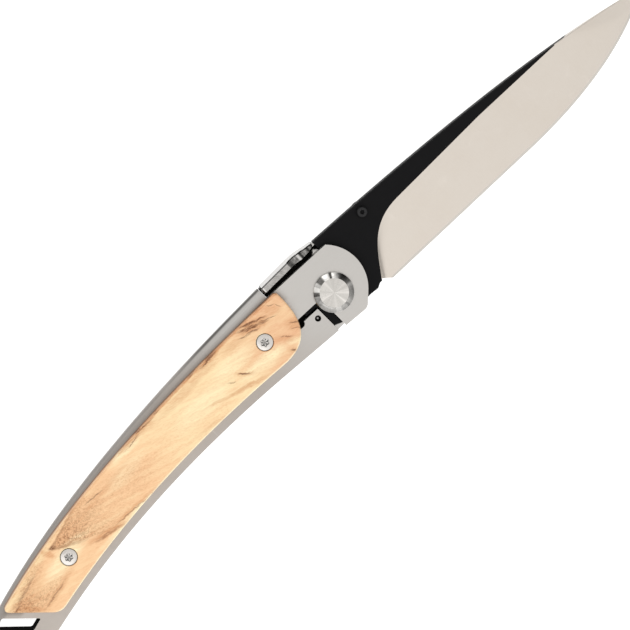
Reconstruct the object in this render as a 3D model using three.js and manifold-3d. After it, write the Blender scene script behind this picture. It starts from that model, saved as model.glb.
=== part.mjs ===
// A slim folding pocket knife, open and locked, lying on its clip with the wood scale up.
// Millimetres. +X runs from the handle to the blade's tip, +Y towards the spine, +Z out of the wood.
// The pieces are laid out round the pivot: its axis is X = Y = 0, and Z = 0 is the front face of
// the handle plate. The last lines put the origin under the middle of the knife.

import * as THREE from 'three';
import { mergeVertices } from 'three/addons/utils/BufferGeometryUtils.js';
import Module from 'manifold-3d';

const wasm = await Module();
wasm.setup();

// Sheet and plate thicknesses
const plateThickness = 1.2;
const bladeThickness = 2.4;
const washerThickness = 0.3;
const clipThickness = 0.9;
const scaleThickness = 2.6;

// Clearances
const seamGap = 0.3;
const shaftGap = 0.08;
const seatGap = 0.1;
const restGap = 0.6;

// How far one shape runs into the next where they are joined, and how far a cutter stands past
const joinDepth = 0.2;
const cutPast = 1;
const outlinePast = 6;

// Handle outline: the spine and the belly are each one bow between two ends
const notchReach = 11.35;
const spineHeight = 12.25;
const spineBow = new THREE.Vector2(-74, 12.3);
const buttCorner = new THREE.Vector2(-107.8, 0.5);
const buttWidth = 15.3;
const buttSlant = THREE.MathUtils.degToRad(-45);
const buttRounding = 2.2;
const bellyBow = new THREE.Vector2(-61.9, -2.04);
const bellyStraightEnd = new THREE.Vector2(-20, -5.73);
const bellyCorner = new THREE.Vector2(3.0, -7.76);
const bellyCornerRounding = 0.9;

// Rounded head of the handle plate
const headCentre = new THREE.Vector2(-1.0, 2.0);
const headRadius = 9.8;
const headArcFrom = THREE.MathUtils.degToRad(-47);
const headArcTo = THREE.MathUtils.degToRad(44);

// Lip that the folded spine turns behind the blade, and how far the fold runs on into the plate
const lipWidth = 6.0;
const foldTail = 1.0;

// Lanyard slot, its ends leaning with the spine and the belly, and the tab behind the butt, which
// starts ahead of the slot
const slotCentre = new THREE.Vector2(-100.22, -3.21);
const slotLength = 8.6;
const slotWidth = 2.75;
const slotLean = { spine: 1.32, belly: 1.59 };
const slotRounding = 0.5;
const tabLead = 1.32;
const tabReach = -slotCentre.x - slotLength / 2 - tabLead;

// Lock bar cut out of the plate
const lockFaceReach = 5.05;
const lockBarLength = 35;
const lockBarTop = -0.25;
const lockBarRise = 0.2;
const lockBarWaist = -0.8;
const lockSlotWidth = 1.35;
const lockWedgeWidth = 1.9;
const relief = new THREE.Vector2(-10.12, 0.12);
const reliefRadius = 1.0;
const lockBarSet = 1.0;
const ballPlace = new THREE.Vector2(-6.51, -1.85);
const ballRadius = 0.62;
const ballStandsOut = 0.35;

// Wood scale
const scaleBellyMargin = { head: 2.5, butt: 1.85 };
const scaleSpineMargin = { head: 2.75, butt: 0.6 };
const scaleButtMargin = 5.75;
const scaleHeadReach = 9.0;
const scaleNoseTop = new THREE.Vector2(-scaleHeadReach, 8.0);
const scaleNoseBows = [new THREE.Vector2(-9.0, 2.5), new THREE.Vector2(-10.15, -3.5)];
const scaleNoseBelly = new THREE.Vector2(-18.0, -3.35);
const scaleEdgeChamfer = 0.6;
const scaleCornerRounding = 1.2;
const scaleButtRounding = 1.9;
const scaleTailCut = 1.0;
const scaleMarginFade = 2;

// Screws that hold the scale
const scaleScrewPlaces = [new THREE.Vector2(-18.46, 3.38), new THREE.Vector2(-82.16, 0.43)];
const scaleScrewHeadRadius = 1.85;
const scaleScrewHeadHeight = 1.1;
const scaleScrewShankRadius = 1.0;
const scaleScrewLobeRadius = 0.85;
const scaleScrewLobeDepth = 0.7;

// Pivot
const pivotHeadRadius = 4.5;
const pivotFaceRadius = 3.35;
const pivotHeadHeight = 1.2;
const pivotBevelDepth = 0.6;
const pivotShaftRadius = 2.5;
const pivotBoreRadius = 1.6;
const pivotBoreRoof = 0.9;
const pivotScrewHeadRadius = 3.7;
const pivotScrewEdge = 0.4;
const pivotScrewLobeRadius = 1.5;
const pivotScrewLobeDepth = 1.0;
const washerRadius = 4.5;

// Blade outline and grind
const bladeReach = 95.65;
const tipHeight = -0.9;
const shoulderReach = 4.4;
const shoulderHeight = 11.0;
const bladeSpineBow = new THREE.Vector2(66.5, 7.3);
const edgeHeelPlace = new THREE.Vector2(11.6, -7.6);
const edgeStraightEnd = new THREE.Vector2(54, -8.98);
const edgeBow = new THREE.Vector2(80, -9.6);
const choilPlace = new THREE.Vector2(9.6, -5.7);
const choilStart = new THREE.Vector2(8.8, -6.1);
const choilBow = new THREE.Vector2(9.6, -6.3);
const tangFoot = new THREE.Vector2(7.6, -6.7);
const tangHeel = 5.6;
const tangBelly = -6.47;
const tangStep = { reach: 3.2, top: -5.7 };
const tangRadius = 8.0;
const tangLedge = 0.15;
const edgeThickness = 0.2;
const grindHeight = 4.7;
const grindFallStart = 50;
const grindTipHeight = 3.68;
const grindTipReach = 78;
const grindShoulder = new THREE.Vector2(24.5, 4.7);
const grindBows = [new THREE.Vector2(16.2, 4.6), new THREE.Vector2(13.4, -0.6)];
const detentTurn = THREE.MathUtils.degToRad(179);

// Thumb stud behind the blade and the small screw that holds it from the front
const studPlace = new THREE.Vector2(16.86, 8.0);
const studRadius = 2.0;
const studHeight = 2.1;
const studScrewHeadRadius = 1.2;
const studScrewHeadHeight = 0.9;
const studScrewShankRadius = 0.7;
const studScrewLobeRadius = 0.55;
const studScrewLobeDepth = 0.5;
const studEndWall = 0.4;

// Stop pin
const stopPinPlace = new THREE.Vector2(3.3, 8.65);
const stopPinRadius = 0.95;

// Clip: its root behind the pivot, the flange that comes up through the notch, and the sprung arm
const clipRootLeft = 5.3;
const clipRootReach = 12.4;
const clipRootHeel = 2.4;
const clipRootCorner = 1.2;
const clipRootSideEnd = -1.2;
const clipRootCheek = new THREE.Vector2(-12.4, -5.8);
const clipRootFoot = new THREE.Vector2(1.0, -7.4);
const clipRootFootBows = [new THREE.Vector2(5.0, -7.4), new THREE.Vector2(7.4, -3.5)];
const clipRootFront = new THREE.Vector2(7.4, 1.0);
const clipRootFrontBows = [new THREE.Vector2(7.4, 5.0), new THREE.Vector2(6.4, 8.0)];
const clipRootShoulder = new THREE.Vector2(-5.3, 8.6);
const clipRootShoulderRise = 0.4;
const flangeReach = 10.9;
const flangeOuter = 12.0;
const flangeInner = 10.4;
const flangeChamfer = 0.4;
const flangeStep = { reach: 2.2, length: 1.8, drop: 0.1 };
const flangeTip = { reach: 4.0, inner: 10.2, outer: 11.0, length: 2.2, rise: 0.1, cut: 0.7, drop: 0.2 };
const flangePinGap = 0.6;
const flangeTopDepth = 0.3;
const armReach = 62;
const armRootTop = 8.0;
const armWidth = 5.0;
const armTipMargin = 2.4;
const armTipWidth = 4.0;
const armTaperShare = 0.55;
const armRampStart = 0.5;
const armRampLength = 4.5;
const armDipReach = 54;
const armDipLength = 9;
const armFlareLength = 6;
const armTouchGap = 0.15;
const armStepGrowth = 1.3;

// Smoothness of round stretches
const roundSteps = 48;
const smallRoundSteps = 32;
const bowSteps = 24;
const cornerSteps = 6;
const foldSteps = 12;
const lobeSteps = 24;
const lobeSwing = 0.13;

// Levels that follow from the thicknesses, counted down from the plate's front face
const channelGap = bladeThickness + 2 * washerThickness;
const foldRadius = plateThickness + channelGap / 2;
const bladeFront = -plateThickness - washerThickness;
const bladeBack = bladeFront - bladeThickness;
const clipFront = bladeBack - washerThickness;
const clipBack = clipFront - clipThickness;
const lipBack = -2 * foldRadius;
const armFront = lipBack - restGap;
const restLevel = armFront - clipThickness;
const lockRootReach = lockFaceReach + lockBarLength;

const steelSatin = { color: 0xc8c4bf, roughness: 0.42, metalness: 0.9 };
const steelBright = { color: 0xd8d7d4, roughness: 0.16, metalness: 1.0 };
const steelTurned = { color: 0xcfccc8, roughness: 0.3, metalness: 1.0 };
const blackCoat = { color: 0x1e1e20, roughness: 0.55, metalness: 0.4 };
const bronze = { color: 0xb08a4a, roughness: 0.4, metalness: 0.9 };
const paleWood = { color: 0xeec795, roughness: 0.55, metalness: 0.0 };

const knife = new THREE.Group();

// Geometry helpers

function solidOf(geometry) {
  const bare = geometry.clone();
  bare.deleteAttribute('normal');
  bare.deleteAttribute('uv');
  const merged = mergeVertices(bare, 1e-5);
  const vertProperties = new Float32Array(merged.attributes.position.array);
  const triVerts = new Uint32Array(merged.index.array);
  return new wasm.Manifold(new wasm.Mesh({ numProp: 3, vertProperties, triVerts }));
}

function geometryOf(solid) {
  const mesh = solid.getMesh();
  const geometry = new THREE.BufferGeometry();
  geometry.setAttribute('position', new THREE.BufferAttribute(new Float32Array(mesh.vertProperties), 3));
  geometry.setIndex(new THREE.BufferAttribute(new Uint32Array(mesh.triVerts), 1));
  geometry.computeVertexNormals();
  return geometry;
}

function addPiece(name, shape, look, parent = knife) {
  const geometry = shape.isBufferGeometry ? shape : geometryOf(shape);
  const mesh = new THREE.Mesh(geometry, new THREE.MeshStandardMaterial(look));
  mesh.name = name;
  parent.add(mesh);
  return mesh;
}

// A flat outline, given as points, filled between two levels
function slab(points, low, high) {
  const geometry = new THREE.ExtrudeGeometry(new THREE.Shape(points), {
    depth: high - low,
    bevelEnabled: false,
  });
  geometry.translate(0, 0, low);
  return solidOf(geometry);
}

function disc(place, radius, low, high, steps = roundSteps) {
  const geometry = new THREE.CylinderGeometry(radius, radius, high - low, steps);
  geometry.rotateX(Math.PI / 2);
  geometry.translate(place.x, place.y, (low + high) / 2);
  return solidOf(geometry);
}

// A profile of [radius, level] pairs turned about an upright axis through a place
function turned(profile, place, steps = roundSteps) {
  const geometry = new THREE.LatheGeometry(profile.map(([r, z]) => new THREE.Vector2(r, z)), steps);
  geometry.rotateX(Math.PI / 2);
  geometry.translate(place.x, place.y, 0);
  return solidOf(geometry);
}

// Six-lobed driver recess
function lobes(place, radius, low, high) {
  const points = [];
  for (let i = 0; i < lobeSteps; i += 1) {
    const angle = (i / lobeSteps) * 2 * Math.PI;
    const reach = radius * (1 + lobeSwing * Math.cos(6 * angle));
    points.push(point(place.x + reach * Math.cos(angle), place.y + reach * Math.sin(angle)));
  }
  return slab(points, low, high);
}

function point(x, y) {
  return new THREE.Vector2(x, y);
}

// Joins two stretches of outline that meet in a corner, with the corner rounded off, or cut in one step
function joinRounded(first, second, reach, steps = cornerSteps) {
  const corner = first.at(-1);
  const kept = first.filter((p) => p.distanceTo(corner) > reach);
  const rest = second.filter((p) => p.distanceTo(corner) > reach);
  const towards = kept.at(-1).clone().sub(corner).setLength(reach).add(corner);
  const away = rest[0].clone().sub(corner).setLength(reach).add(corner);
  const bend = new THREE.QuadraticBezierCurve(towards, corner, away);
  return [...kept, ...bend.getPoints(steps), ...rest];
}

function bowPoints(from, bow, to, steps = bowSteps) {
  return new THREE.QuadraticBezierCurve(from, bow, to).getPoints(steps);
}

// Moves an open run of points sideways; the margin may change along the run
function sideways(points, marginAt) {
  return points.map((p, i) => {
    const before = points[Math.max(i - 1, 0)];
    const after = points[Math.min(i + 1, points.length - 1)];
    const along = after.clone().sub(before).normalize();
    const share = i / (points.length - 1);
    return point(p.x - along.y * marginAt(share), p.y + along.x * marginAt(share));
  });
}

// A closed section carried along stations; each station says where a section point lands
function sweep(section, stations, place) {
  const positions = [];
  for (const station of stations) {
    for (const s of section) {
      positions.push(...place(station, s));
    }
  }
  const n = section.length;
  const index = [];
  for (let i = 0; i < stations.length - 1; i += 1) {
    for (let j = 0; j < n; j += 1) {
      const k = (j + 1) % n;
      const a = i * n + j;
      const b = i * n + k;
      const c = (i + 1) * n + j;
      const d = (i + 1) * n + k;
      index.push(a, c, b, b, c, d);
    }
  }
  const last = (stations.length - 1) * n;
  for (const [a, b, c] of THREE.ShapeUtils.triangulateShape(section, [])) {
    index.push(a, b, c);
    index.push(last + a, last + c, last + b);
  }
  const geometry = new THREE.BufferGeometry();
  geometry.setAttribute('position', new THREE.Float32BufferAttribute(positions, 3));
  geometry.setIndex(index);
  return solidOf(facingOut(geometry));
}

function facingOut(geometry) {
  const p = geometry.attributes.position;
  const index = geometry.index.array;
  let volume = 0;
  const [a, b, c] = [new THREE.Vector3(), new THREE.Vector3(), new THREE.Vector3()];
  for (let i = 0; i < index.length; i += 3) {
    a.fromBufferAttribute(p, index[i]);
    b.fromBufferAttribute(p, index[i + 1]);
    c.fromBufferAttribute(p, index[i + 2]);
    volume += a.dot(b.cross(c));
  }
  if (volume < 0) {
    for (let i = 0; i < index.length; i += 3) {
      [index[i], index[i + 1]] = [index[i + 1], index[i]];
    }
  }
  return geometry;
}

// Outlines of the handle

const pivotPlace = point(0, 0);
const notchPlace = point(-notchReach, spineHeight);
const spinePoints = bowPoints(notchPlace, spineBow, buttCorner);
const buttAlong = point(Math.cos(buttSlant), Math.sin(buttSlant));
const bellyEnd = buttCorner.clone().addScaledVector(buttAlong, buttWidth);
const bellyPoints = bowPoints(bellyEnd, bellyBow, bellyStraightEnd);

function headArc(radius, from, to) {
  const arc = new THREE.Path();
  arc.absarc(headCentre.x, headCentre.y, radius, from, to, false);
  return arc.getPoints(roundSteps / 2);
}

function plateOutline() {
  const head = headArc(headRadius, headArcFrom, headArcTo);
  const foldStart = sideways(spinePoints, () => foldRadius);
  const belly = joinRounded([...bellyPoints, bellyCorner], [bellyCorner, ...head], bellyCornerRounding);
  return [...belly, ...foldStart];
}

// What is cut away outside the butt's two rounded corners
function buttCutter() {
  const outward = buttAlong.clone().rotateAround(pivotPlace, -Math.PI / 2);
  const spineSide = joinRounded(spinePoints, [buttCorner, bellyEnd], buttRounding);
  const bellySide = joinRounded([buttCorner, bellyEnd], bellyPoints, buttRounding);
  const spineCurve = spineSide.slice(-cornerSteps - 2, -1);
  const bellyCurve = bellySide.slice(1, cornerSteps + 2);
  const outline = [
    spineCurve[0].clone().add(point(0, outlinePast)),
    ...spineCurve,
    ...bellyCurve,
    bellyCurve.at(-1).clone().add(point(0, -outlinePast)),
    bellyEnd.clone().addScaledVector(outward, outlinePast).add(point(0, -outlinePast)),
    buttCorner.clone().addScaledVector(outward, outlinePast).add(point(-outlinePast, outlinePast)),
  ];
  return slab(outline.reverse(), lipBack - cutPast, cutPast);
}

// The folded spine: plate, half-round fold and lip in one section; x is the way in from the outer face
function foldedSpine() {
  const inner = foldRadius - plateThickness;
  const section = [point(foldRadius + foldTail, 0)];
  for (let i = 0; i <= foldSteps; i += 1) {
    const turn = (i / foldSteps) * Math.PI;
    section.push(point(foldRadius * (1 - Math.sin(turn)), -foldRadius * (1 - Math.cos(turn))));
  }
  section.push(point(lipWidth, lipBack));
  section.push(point(lipWidth, lipBack + plateThickness));
  for (let i = foldSteps; i >= 0; i -= 1) {
    const turn = (i / foldSteps) * Math.PI;
    section.push(point(foldRadius - inner * Math.sin(turn), -foldRadius + inner * Math.cos(turn)));
  }
  section.push(point(foldRadius + foldTail, -plateThickness));
  const inward = sideways(spinePoints, () => 1).map((p, i) => p.clone().sub(spinePoints[i]));
  const stations = spinePoints.map((p, i) => ({ p, way: inward[i] }));
  return sweep(section, stations, ({ p, way }, s) => [p.x + way.x * s.x, p.y + way.y * s.x, s.y]);
}

function lanyardSlot() {
  const half = point(slotLength / 2, slotWidth / 2);
  const corners = [
    point(-half.x - slotLean.spine, -half.y),
    point(half.x - slotLean.belly, -half.y),
    point(half.x, half.y),
    point(-half.x, half.y),
  ];
  const placed = corners.map((c) => c.rotateAround(pivotPlace, buttSlant).add(slotCentre));
  const outline = [];
  placed.forEach((corner, i) => {
    const before = placed[(i + 3) % 4];
    const after = placed[(i + 1) % 4];
    const rounded = joinRounded([before, corner], [corner, after], slotRounding);
    outline.push(...rounded.slice(1, -1));
  });
  return slab(outline, lipBack - cutPast, cutPast);
}

// The strip of the plate that is the lock bar, and the wider stretch that is cut away round it
function lockBarOutline(grow, wedge) {
  const belly = bellyCorner.y - outlinePast;
  const right = -lockFaceReach + wedge;
  const left = -lockRootReach - (grow > 0 ? seamGap : 0);
  const rise = lockBarRise / (-lockFaceReach - relief.x);
  const topAt = (x) => lockBarTop + rise * (-lockFaceReach - x) + grow;
  return [
    point(left, belly),
    point(right, belly),
    point(right, topAt(right)),
    point(relief.x, topAt(relief.x)),
    point(relief.x, lockBarWaist + grow),
    point(left, lockBarWaist + grow),
  ];
}

function makeHandle() {
  const plate = slab(plateOutline(), -plateThickness, 0);
  const tabArea = slab([
    point(buttCorner.x - outlinePast, -buttWidth),
    point(-tabReach, -buttWidth),
    point(-tabReach, buttWidth),
    point(buttCorner.x - outlinePast, buttWidth),
  ], lipBack, lipBack + plateThickness);
  const tab = slab(plateOutline(), lipBack, lipBack + plateThickness).intersect(tabArea);
  let frame = plate.add(foldedSpine()).add(tab).subtract(buttCutter()).subtract(lanyardSlot());
  const below = lipBack / 2;
  frame = frame.subtract(slab(lockBarOutline(lockSlotWidth, lockWedgeWidth), below, cutPast));
  frame = frame.subtract(disc(relief, reliefRadius, below, cutPast));
  frame = frame.subtract(disc(pivotPlace, pivotShaftRadius + shaftGap, below, cutPast));
  for (const place of scaleScrewPlaces) {
    const radius = scaleScrewShankRadius + shaftGap;
    frame = frame.subtract(disc(place, radius, below, cutPast, smallRoundSteps));
  }
  addPiece('handle_frame', frame, steelSatin);
}

// The bar leans in behind the tang: it turns about its root and its tip drops by lockBarSet
function makeLockBar() {
  const lean = new THREE.Group();
  const root = new THREE.Vector3(-lockRootReach, 0, -plateThickness / 2);
  lean.position.copy(root);
  lean.rotation.y = Math.asin(lockBarSet / lockBarLength);
  knife.add(lean);

  const below = -plateThickness - cutPast;
  const strip = slab(lockBarOutline(0, 0), -plateThickness, 0);
  const bar = slab(plateOutline(), -plateThickness, 0)
    .intersect(strip)
    .subtract(disc(relief, reliefRadius, below, cutPast))
    .subtract(disc(ballPlace, ballRadius + shaftGap, below, cutPast, smallRoundSteps / 2));
  addPiece('lock_bar', bar.translate([-root.x, -root.y, -root.z]), steelSatin, lean);

  const ball = new THREE.SphereGeometry(ballRadius, smallRoundSteps / 2, smallRoundSteps / 4);
  const ballLevel = -plateThickness - ballStandsOut + ballRadius;
  ball.translate(ballPlace.x - root.x, ballPlace.y - root.y, ballLevel - root.z);
  addPiece('detent_ball', solidOf(ball), steelBright, lean);
}

// Wood scale

function scaleOutline() {
  const { lerp } = THREE.MathUtils;
  const { head, butt } = scaleSpineMargin;
  const spineMargin = (share) => lerp(butt, head, (1 - share) ** scaleMarginFade);
  const bellyMargin = (share) => lerp(scaleBellyMargin.butt, scaleBellyMargin.head, share);
  const spine = sideways(spinePoints, spineMargin);
  const bend = new THREE.CubicBezierCurve(scaleNoseTop, ...scaleNoseBows, scaleNoseBelly);
  const nose = bend.getPoints(bowSteps / 2).reverse();
  const belly = sideways(bellyPoints, bellyMargin)
    .filter((p) => p.x < scaleNoseBelly.x - scaleCornerRounding);
  const buttSide = buttCorner.clone().addScaledVector(
    buttAlong.clone().rotateAround(pivotPlace, Math.PI / 2),
    scaleButtMargin,
  );
  const inside = (p) => p.clone().sub(buttSide).cross(buttAlong) < 0;
  const noseCorner = point(-scaleHeadReach, spineHeight - head);
  const spineIn = spine.filter((p) => inside(p) && p.x < noseCorner.x - scaleCornerRounding);
  const bellyIn = belly.filter(inside);
  const spineButt = crossing(spineIn.at(-2), spineIn.at(-1), buttSide, buttAlong);
  const bellyButt = crossing(bellyIn[1], bellyIn[0], buttSide, buttAlong);
  const spineSide = [noseCorner, ...spineIn, spineButt];
  const upper = joinRounded([...nose, noseCorner], spineSide, scaleCornerRounding);
  const tail = joinRounded(upper, [spineButt, bellyButt], scaleTailCut, 1);
  return joinRounded(tail, [bellyButt, ...bellyIn], scaleButtRounding);
}

// Where the line through two points meets the line through a place along a direction
function crossing(a, b, place, along) {
  const run = b.clone().sub(a);
  const share = place.clone().sub(a).cross(along) / run.cross(along);
  return a.clone().addScaledVector(run, share);
}

// The top edge is chamfered all round, and the screws sit in counterbores
function makeScale() {
  const geometry = new THREE.ExtrudeGeometry(new THREE.Shape(scaleOutline()), {
    depth: scaleThickness,
    bevelEnabled: true,
    bevelThickness: scaleEdgeChamfer,
    bevelSize: scaleEdgeChamfer,
    bevelOffset: -scaleEdgeChamfer,
    bevelSegments: 2,
  });
  geometry.translate(0, 0, -scaleEdgeChamfer);
  const left = buttCorner.x - outlinePast;
  const bed = [
    point(left, -buttWidth),
    point(0, -buttWidth),
    point(0, buttWidth),
    point(left, buttWidth),
  ];
  let scale = solidOf(geometry).subtract(slab(bed, -scaleThickness, 0));
  for (const place of scaleScrewPlaces) {
    const seat = scaleThickness - scaleScrewHeadHeight;
    const headRadius = scaleScrewHeadRadius + seatGap;
    const shankRadius = scaleScrewShankRadius + seatGap;
    scale = scale.subtract(disc(place, headRadius, seat, scaleThickness + cutPast, smallRoundSteps));
    scale = scale.subtract(disc(place, shankRadius, -cutPast, scaleThickness, smallRoundSteps));
  }
  addPiece('wood_scale', scale, paleWood);
}

function makeScaleScrews() {
  scaleScrewPlaces.forEach((place, i) => {
    const seat = scaleThickness - scaleScrewHeadHeight;
    const recess = scaleThickness - scaleScrewLobeDepth;
    const screw = disc(place, scaleScrewHeadRadius, seat, scaleThickness, smallRoundSteps)
      .add(disc(place, scaleScrewShankRadius, -plateThickness, seat + joinDepth, smallRoundSteps))
      .subtract(lobes(place, scaleScrewLobeRadius, recess, scaleThickness + cutPast));
    addPiece(`scale_screw_${i + 1}`, screw, steelBright);
  });
}

// Pivot: a headed barrel from the front, a screw from the back and a washer on each side of the blade
function makePivot() {
  const bevelStart = pivotHeadHeight - pivotBevelDepth;
  const barrel = turned([
    [0, pivotHeadHeight],
    [pivotFaceRadius, pivotHeadHeight],
    [pivotHeadRadius, bevelStart],
    [pivotHeadRadius, 0],
    [pivotShaftRadius, 0],
    [pivotShaftRadius, clipBack + seatGap],
    [pivotBoreRadius, clipBack + seatGap],
    [pivotBoreRadius, -pivotBoreRoof],
    [0, -pivotBoreRoof],
  ].reverse(), pivotPlace);
  addPiece('pivot_barrel', barrel, steelTurned);

  const shank = pivotBoreRadius - seatGap;
  const recess = restLevel + pivotScrewLobeDepth;
  const screw = turned([
    [0, restLevel],
    [pivotScrewHeadRadius - pivotScrewEdge, restLevel],
    [pivotScrewHeadRadius, restLevel + pivotScrewEdge],
    [pivotScrewHeadRadius, clipBack],
    [shank, clipBack],
    [shank, -pivotBoreRoof - seamGap],
    [0, -pivotBoreRoof - seamGap],
  ], pivotPlace).subtract(lobes(pivotPlace, pivotScrewLobeRadius, restLevel - cutPast, recess));
  addPiece('pivot_screw', screw, steelTurned);

  const ring = (low) => disc(pivotPlace, washerRadius, low, low + washerThickness)
    .subtract(disc(pivotPlace, pivotShaftRadius + shaftGap, low - cutPast, low + cutPast));
  addPiece('washer_front', ring(bladeFront), bronze);
  addPiece('washer_rear', ring(clipFront), bronze);
}

// Blade

function bladeOutline() {
  const tip = point(bladeReach, tipHeight);
  const shoulder = point(shoulderReach, shoulderHeight);
  const spine = bowPoints(tip, bladeSpineBow, shoulder);
  const edge = bowPoints(edgeStraightEnd, edgeBow, tip);
  const tangFrom = Math.acos(shoulderReach / tangRadius);
  const tangTo = Math.PI - Math.asin(tangLedge / tangRadius);
  const tang = new THREE.Path();
  tang.absarc(0, 0, tangRadius, tangFrom, tangTo, false);
  const lockFace = -lockFaceReach + seatGap;
  return [
    ...spine,
    ...tang.getPoints(roundSteps / 2),
    point(lockFace, tangLedge),
    point(lockFace, tangStep.top),
    point(-tangStep.reach, tangBelly),
    point(tangHeel, tangBelly),
    tangFoot,
    ...bowPoints(choilStart, choilBow, choilPlace, cornerSteps),
    edgeHeelPlace,
    ...edge.slice(0, -1),
  ];
}

// The flat grind on one face: a slab over the ground area, tilted so that it leaves the edge thin.
// side is +1 on the front face and -1 on the back.
function grindCutter(side) {
  const bend = new THREE.CubicBezierCurve(grindShoulder, ...grindBows, choilPlace);
  const plunge = bend.getPoints(bowSteps / 2);
  const right = bladeReach + outlinePast;
  const below = edgeBow.y - outlinePast;
  const outline = [
    point(right, grindTipHeight),
    point(grindTipReach, grindTipHeight),
    point(grindFallStart, grindHeight),
    ...plunge,
    point(choilPlace.x, below),
    point(right, below),
  ];
  const reach = grindHeight - edgeStraightEnd.y;
  const tilt = Math.atan2((bladeThickness - edgeThickness) / 2, reach);
  const cutter = new THREE.ExtrudeGeometry(new THREE.Shape(outline), {
    depth: bladeThickness,
    bevelEnabled: false,
  });
  const position = cutter.attributes.position;
  const middle = (bladeFront + bladeBack) / 2;
  for (let i = 0; i < position.count; i += 1) {
    const drop = (grindHeight - position.getY(i)) * Math.tan(tilt);
    const level = position.getZ(i) + bladeThickness / 2 - drop;
    position.setZ(i, middle + side * level);
  }
  cutter.deleteAttribute('normal');
  cutter.deleteAttribute('uv');
  return solidOf(facingOut(mergeVertices(cutter, 1e-5)));
}

function makeBlade() {
  const detent = ballPlace.clone().rotateAround(pivotPlace, detentTurn);
  const detentDepth = bladeFront - ballStandsOut - seatGap;
  const low = bladeBack - cutPast;
  const high = bladeFront + cutPast;
  const blade = slab(bladeOutline(), bladeBack, bladeFront)
    .subtract(grindCutter(1))
    .subtract(grindCutter(-1))
    .subtract(disc(pivotPlace, pivotShaftRadius + shaftGap, low, high))
    .subtract(disc(studPlace, studScrewShankRadius + seatGap, low, high, smallRoundSteps / 2))
    .subtract(disc(detent, ballRadius + seatGap, detentDepth, high, smallRoundSteps / 2));
  addPiece('blade', blade, blackCoat);
}

function makeThumbStud() {
  const bore = bladeBack - studHeight + studEndWall;
  const boreRadius = studScrewShankRadius + seatGap;
  const stud = disc(studPlace, studRadius, bladeBack - studHeight, bladeBack, smallRoundSteps)
    .subtract(disc(studPlace, boreRadius, bore, bladeBack + cutPast, smallRoundSteps / 2));
  addPiece('thumb_stud', stud, blackCoat);

  const top = bladeFront + studScrewHeadHeight;
  const shankTop = bladeFront + joinDepth;
  const screw = disc(studPlace, studScrewHeadRadius, bladeFront, top, smallRoundSteps)
    .add(disc(studPlace, studScrewShankRadius, bore + seatGap, shankTop, smallRoundSteps / 2))
    .subtract(lobes(studPlace, studScrewLobeRadius, top - studScrewLobeDepth, top + cutPast));
  addPiece('thumb_stud_screw', screw, blackCoat);
}

function makeStopPin() {
  const pin = disc(stopPinPlace, stopPinRadius, clipBack, -plateThickness - seatGap, smallRoundSteps);
  addPiece('stop_pin', pin, steelBright);
}

// Clip root: a plate behind the washer, with the flange standing up from its spine edge. The plate
// takes the flange's own outer edge, so that both follow one line.
function makeClipMount() {
  const tip = flangeTip;
  const outerEdge = [
    point(tip.reach, tip.outer),
    point(tip.reach - tip.length, tip.outer + tip.rise),
    point(-flangeStep.reach, flangeOuter),
    point(-flangeReach + flangeChamfer, flangeOuter),
    point(-flangeReach, flangeOuter - flangeChamfer),
  ];
  const flange = [
    point(-flangeReach, flangeInner),
    point(-flangeStep.reach, flangeInner - flangeStep.drop),
    point(-flangeStep.reach + flangeStep.length, tip.inner),
    point(stopPinPlace.x - stopPinRadius - flangePinGap, tip.inner),
    point(tip.reach - tip.cut, tip.outer - tip.drop),
    ...outerEdge,
  ];
  const root = new THREE.Path();
  root.moveTo(-clipRootLeft, clipRootHeel);
  root.lineTo(-clipRootReach + clipRootCorner, clipRootHeel);
  root.quadraticCurveTo(-clipRootReach, clipRootHeel, -clipRootReach, clipRootHeel - clipRootCorner);
  root.lineTo(-clipRootReach, clipRootSideEnd);
  root.quadraticCurveTo(clipRootCheek.x, clipRootCheek.y, -clipRootLeft, clipRootFoot.y);
  root.lineTo(clipRootFoot.x, clipRootFoot.y);
  const foot = new THREE.CubicBezierCurve(clipRootFoot, ...clipRootFootBows, clipRootFront);
  const front = new THREE.CubicBezierCurve(clipRootFront, ...clipRootFrontBows, outerEdge[0]);
  const outline = [
    ...root.getPoints(bowSteps / 2),
    ...foot.getPoints(bowSteps / 2).slice(1),
    ...front.getPoints(bowSteps / 2).slice(1, -1),
    ...outerEdge,
    point(-flangeReach, clipRootShoulder.y + clipRootShoulderRise),
    clipRootShoulder,
  ];
  const [low, high] = [clipBack - cutPast, clipFront + cutPast];
  const mount = slab(outline, clipBack, clipFront)
    .add(slab(flange, clipBack, -flangeTopDepth))
    .subtract(disc(pivotPlace, pivotShaftRadius + shaftGap, low, high))
    .subtract(disc(stopPinPlace, stopPinRadius + shaftGap, low, high, smallRoundSteps));
  addPiece('clip_mount', mount, steelBright);
}

// Level of the arm's front face at a distance behind the pivot: root, ramp out, crest, dip, flare
function armLevel(reach) {
  const { smoothstep } = THREE.MathUtils;
  const rampStart = clipRootLeft + seamGap + armRampStart;
  const touch = lipBack - armTouchGap;
  const ramp = smoothstep(reach, rampStart, rampStart + armRampLength);
  const dip = smoothstep(reach, armDipReach - armDipLength, armDipReach);
  const flare = smoothstep(reach, armDipReach, armDipReach + armFlareLength);
  return clipFront + (armFront - clipFront) * ramp + (touch - armFront) * (dip - flare);
}

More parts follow.
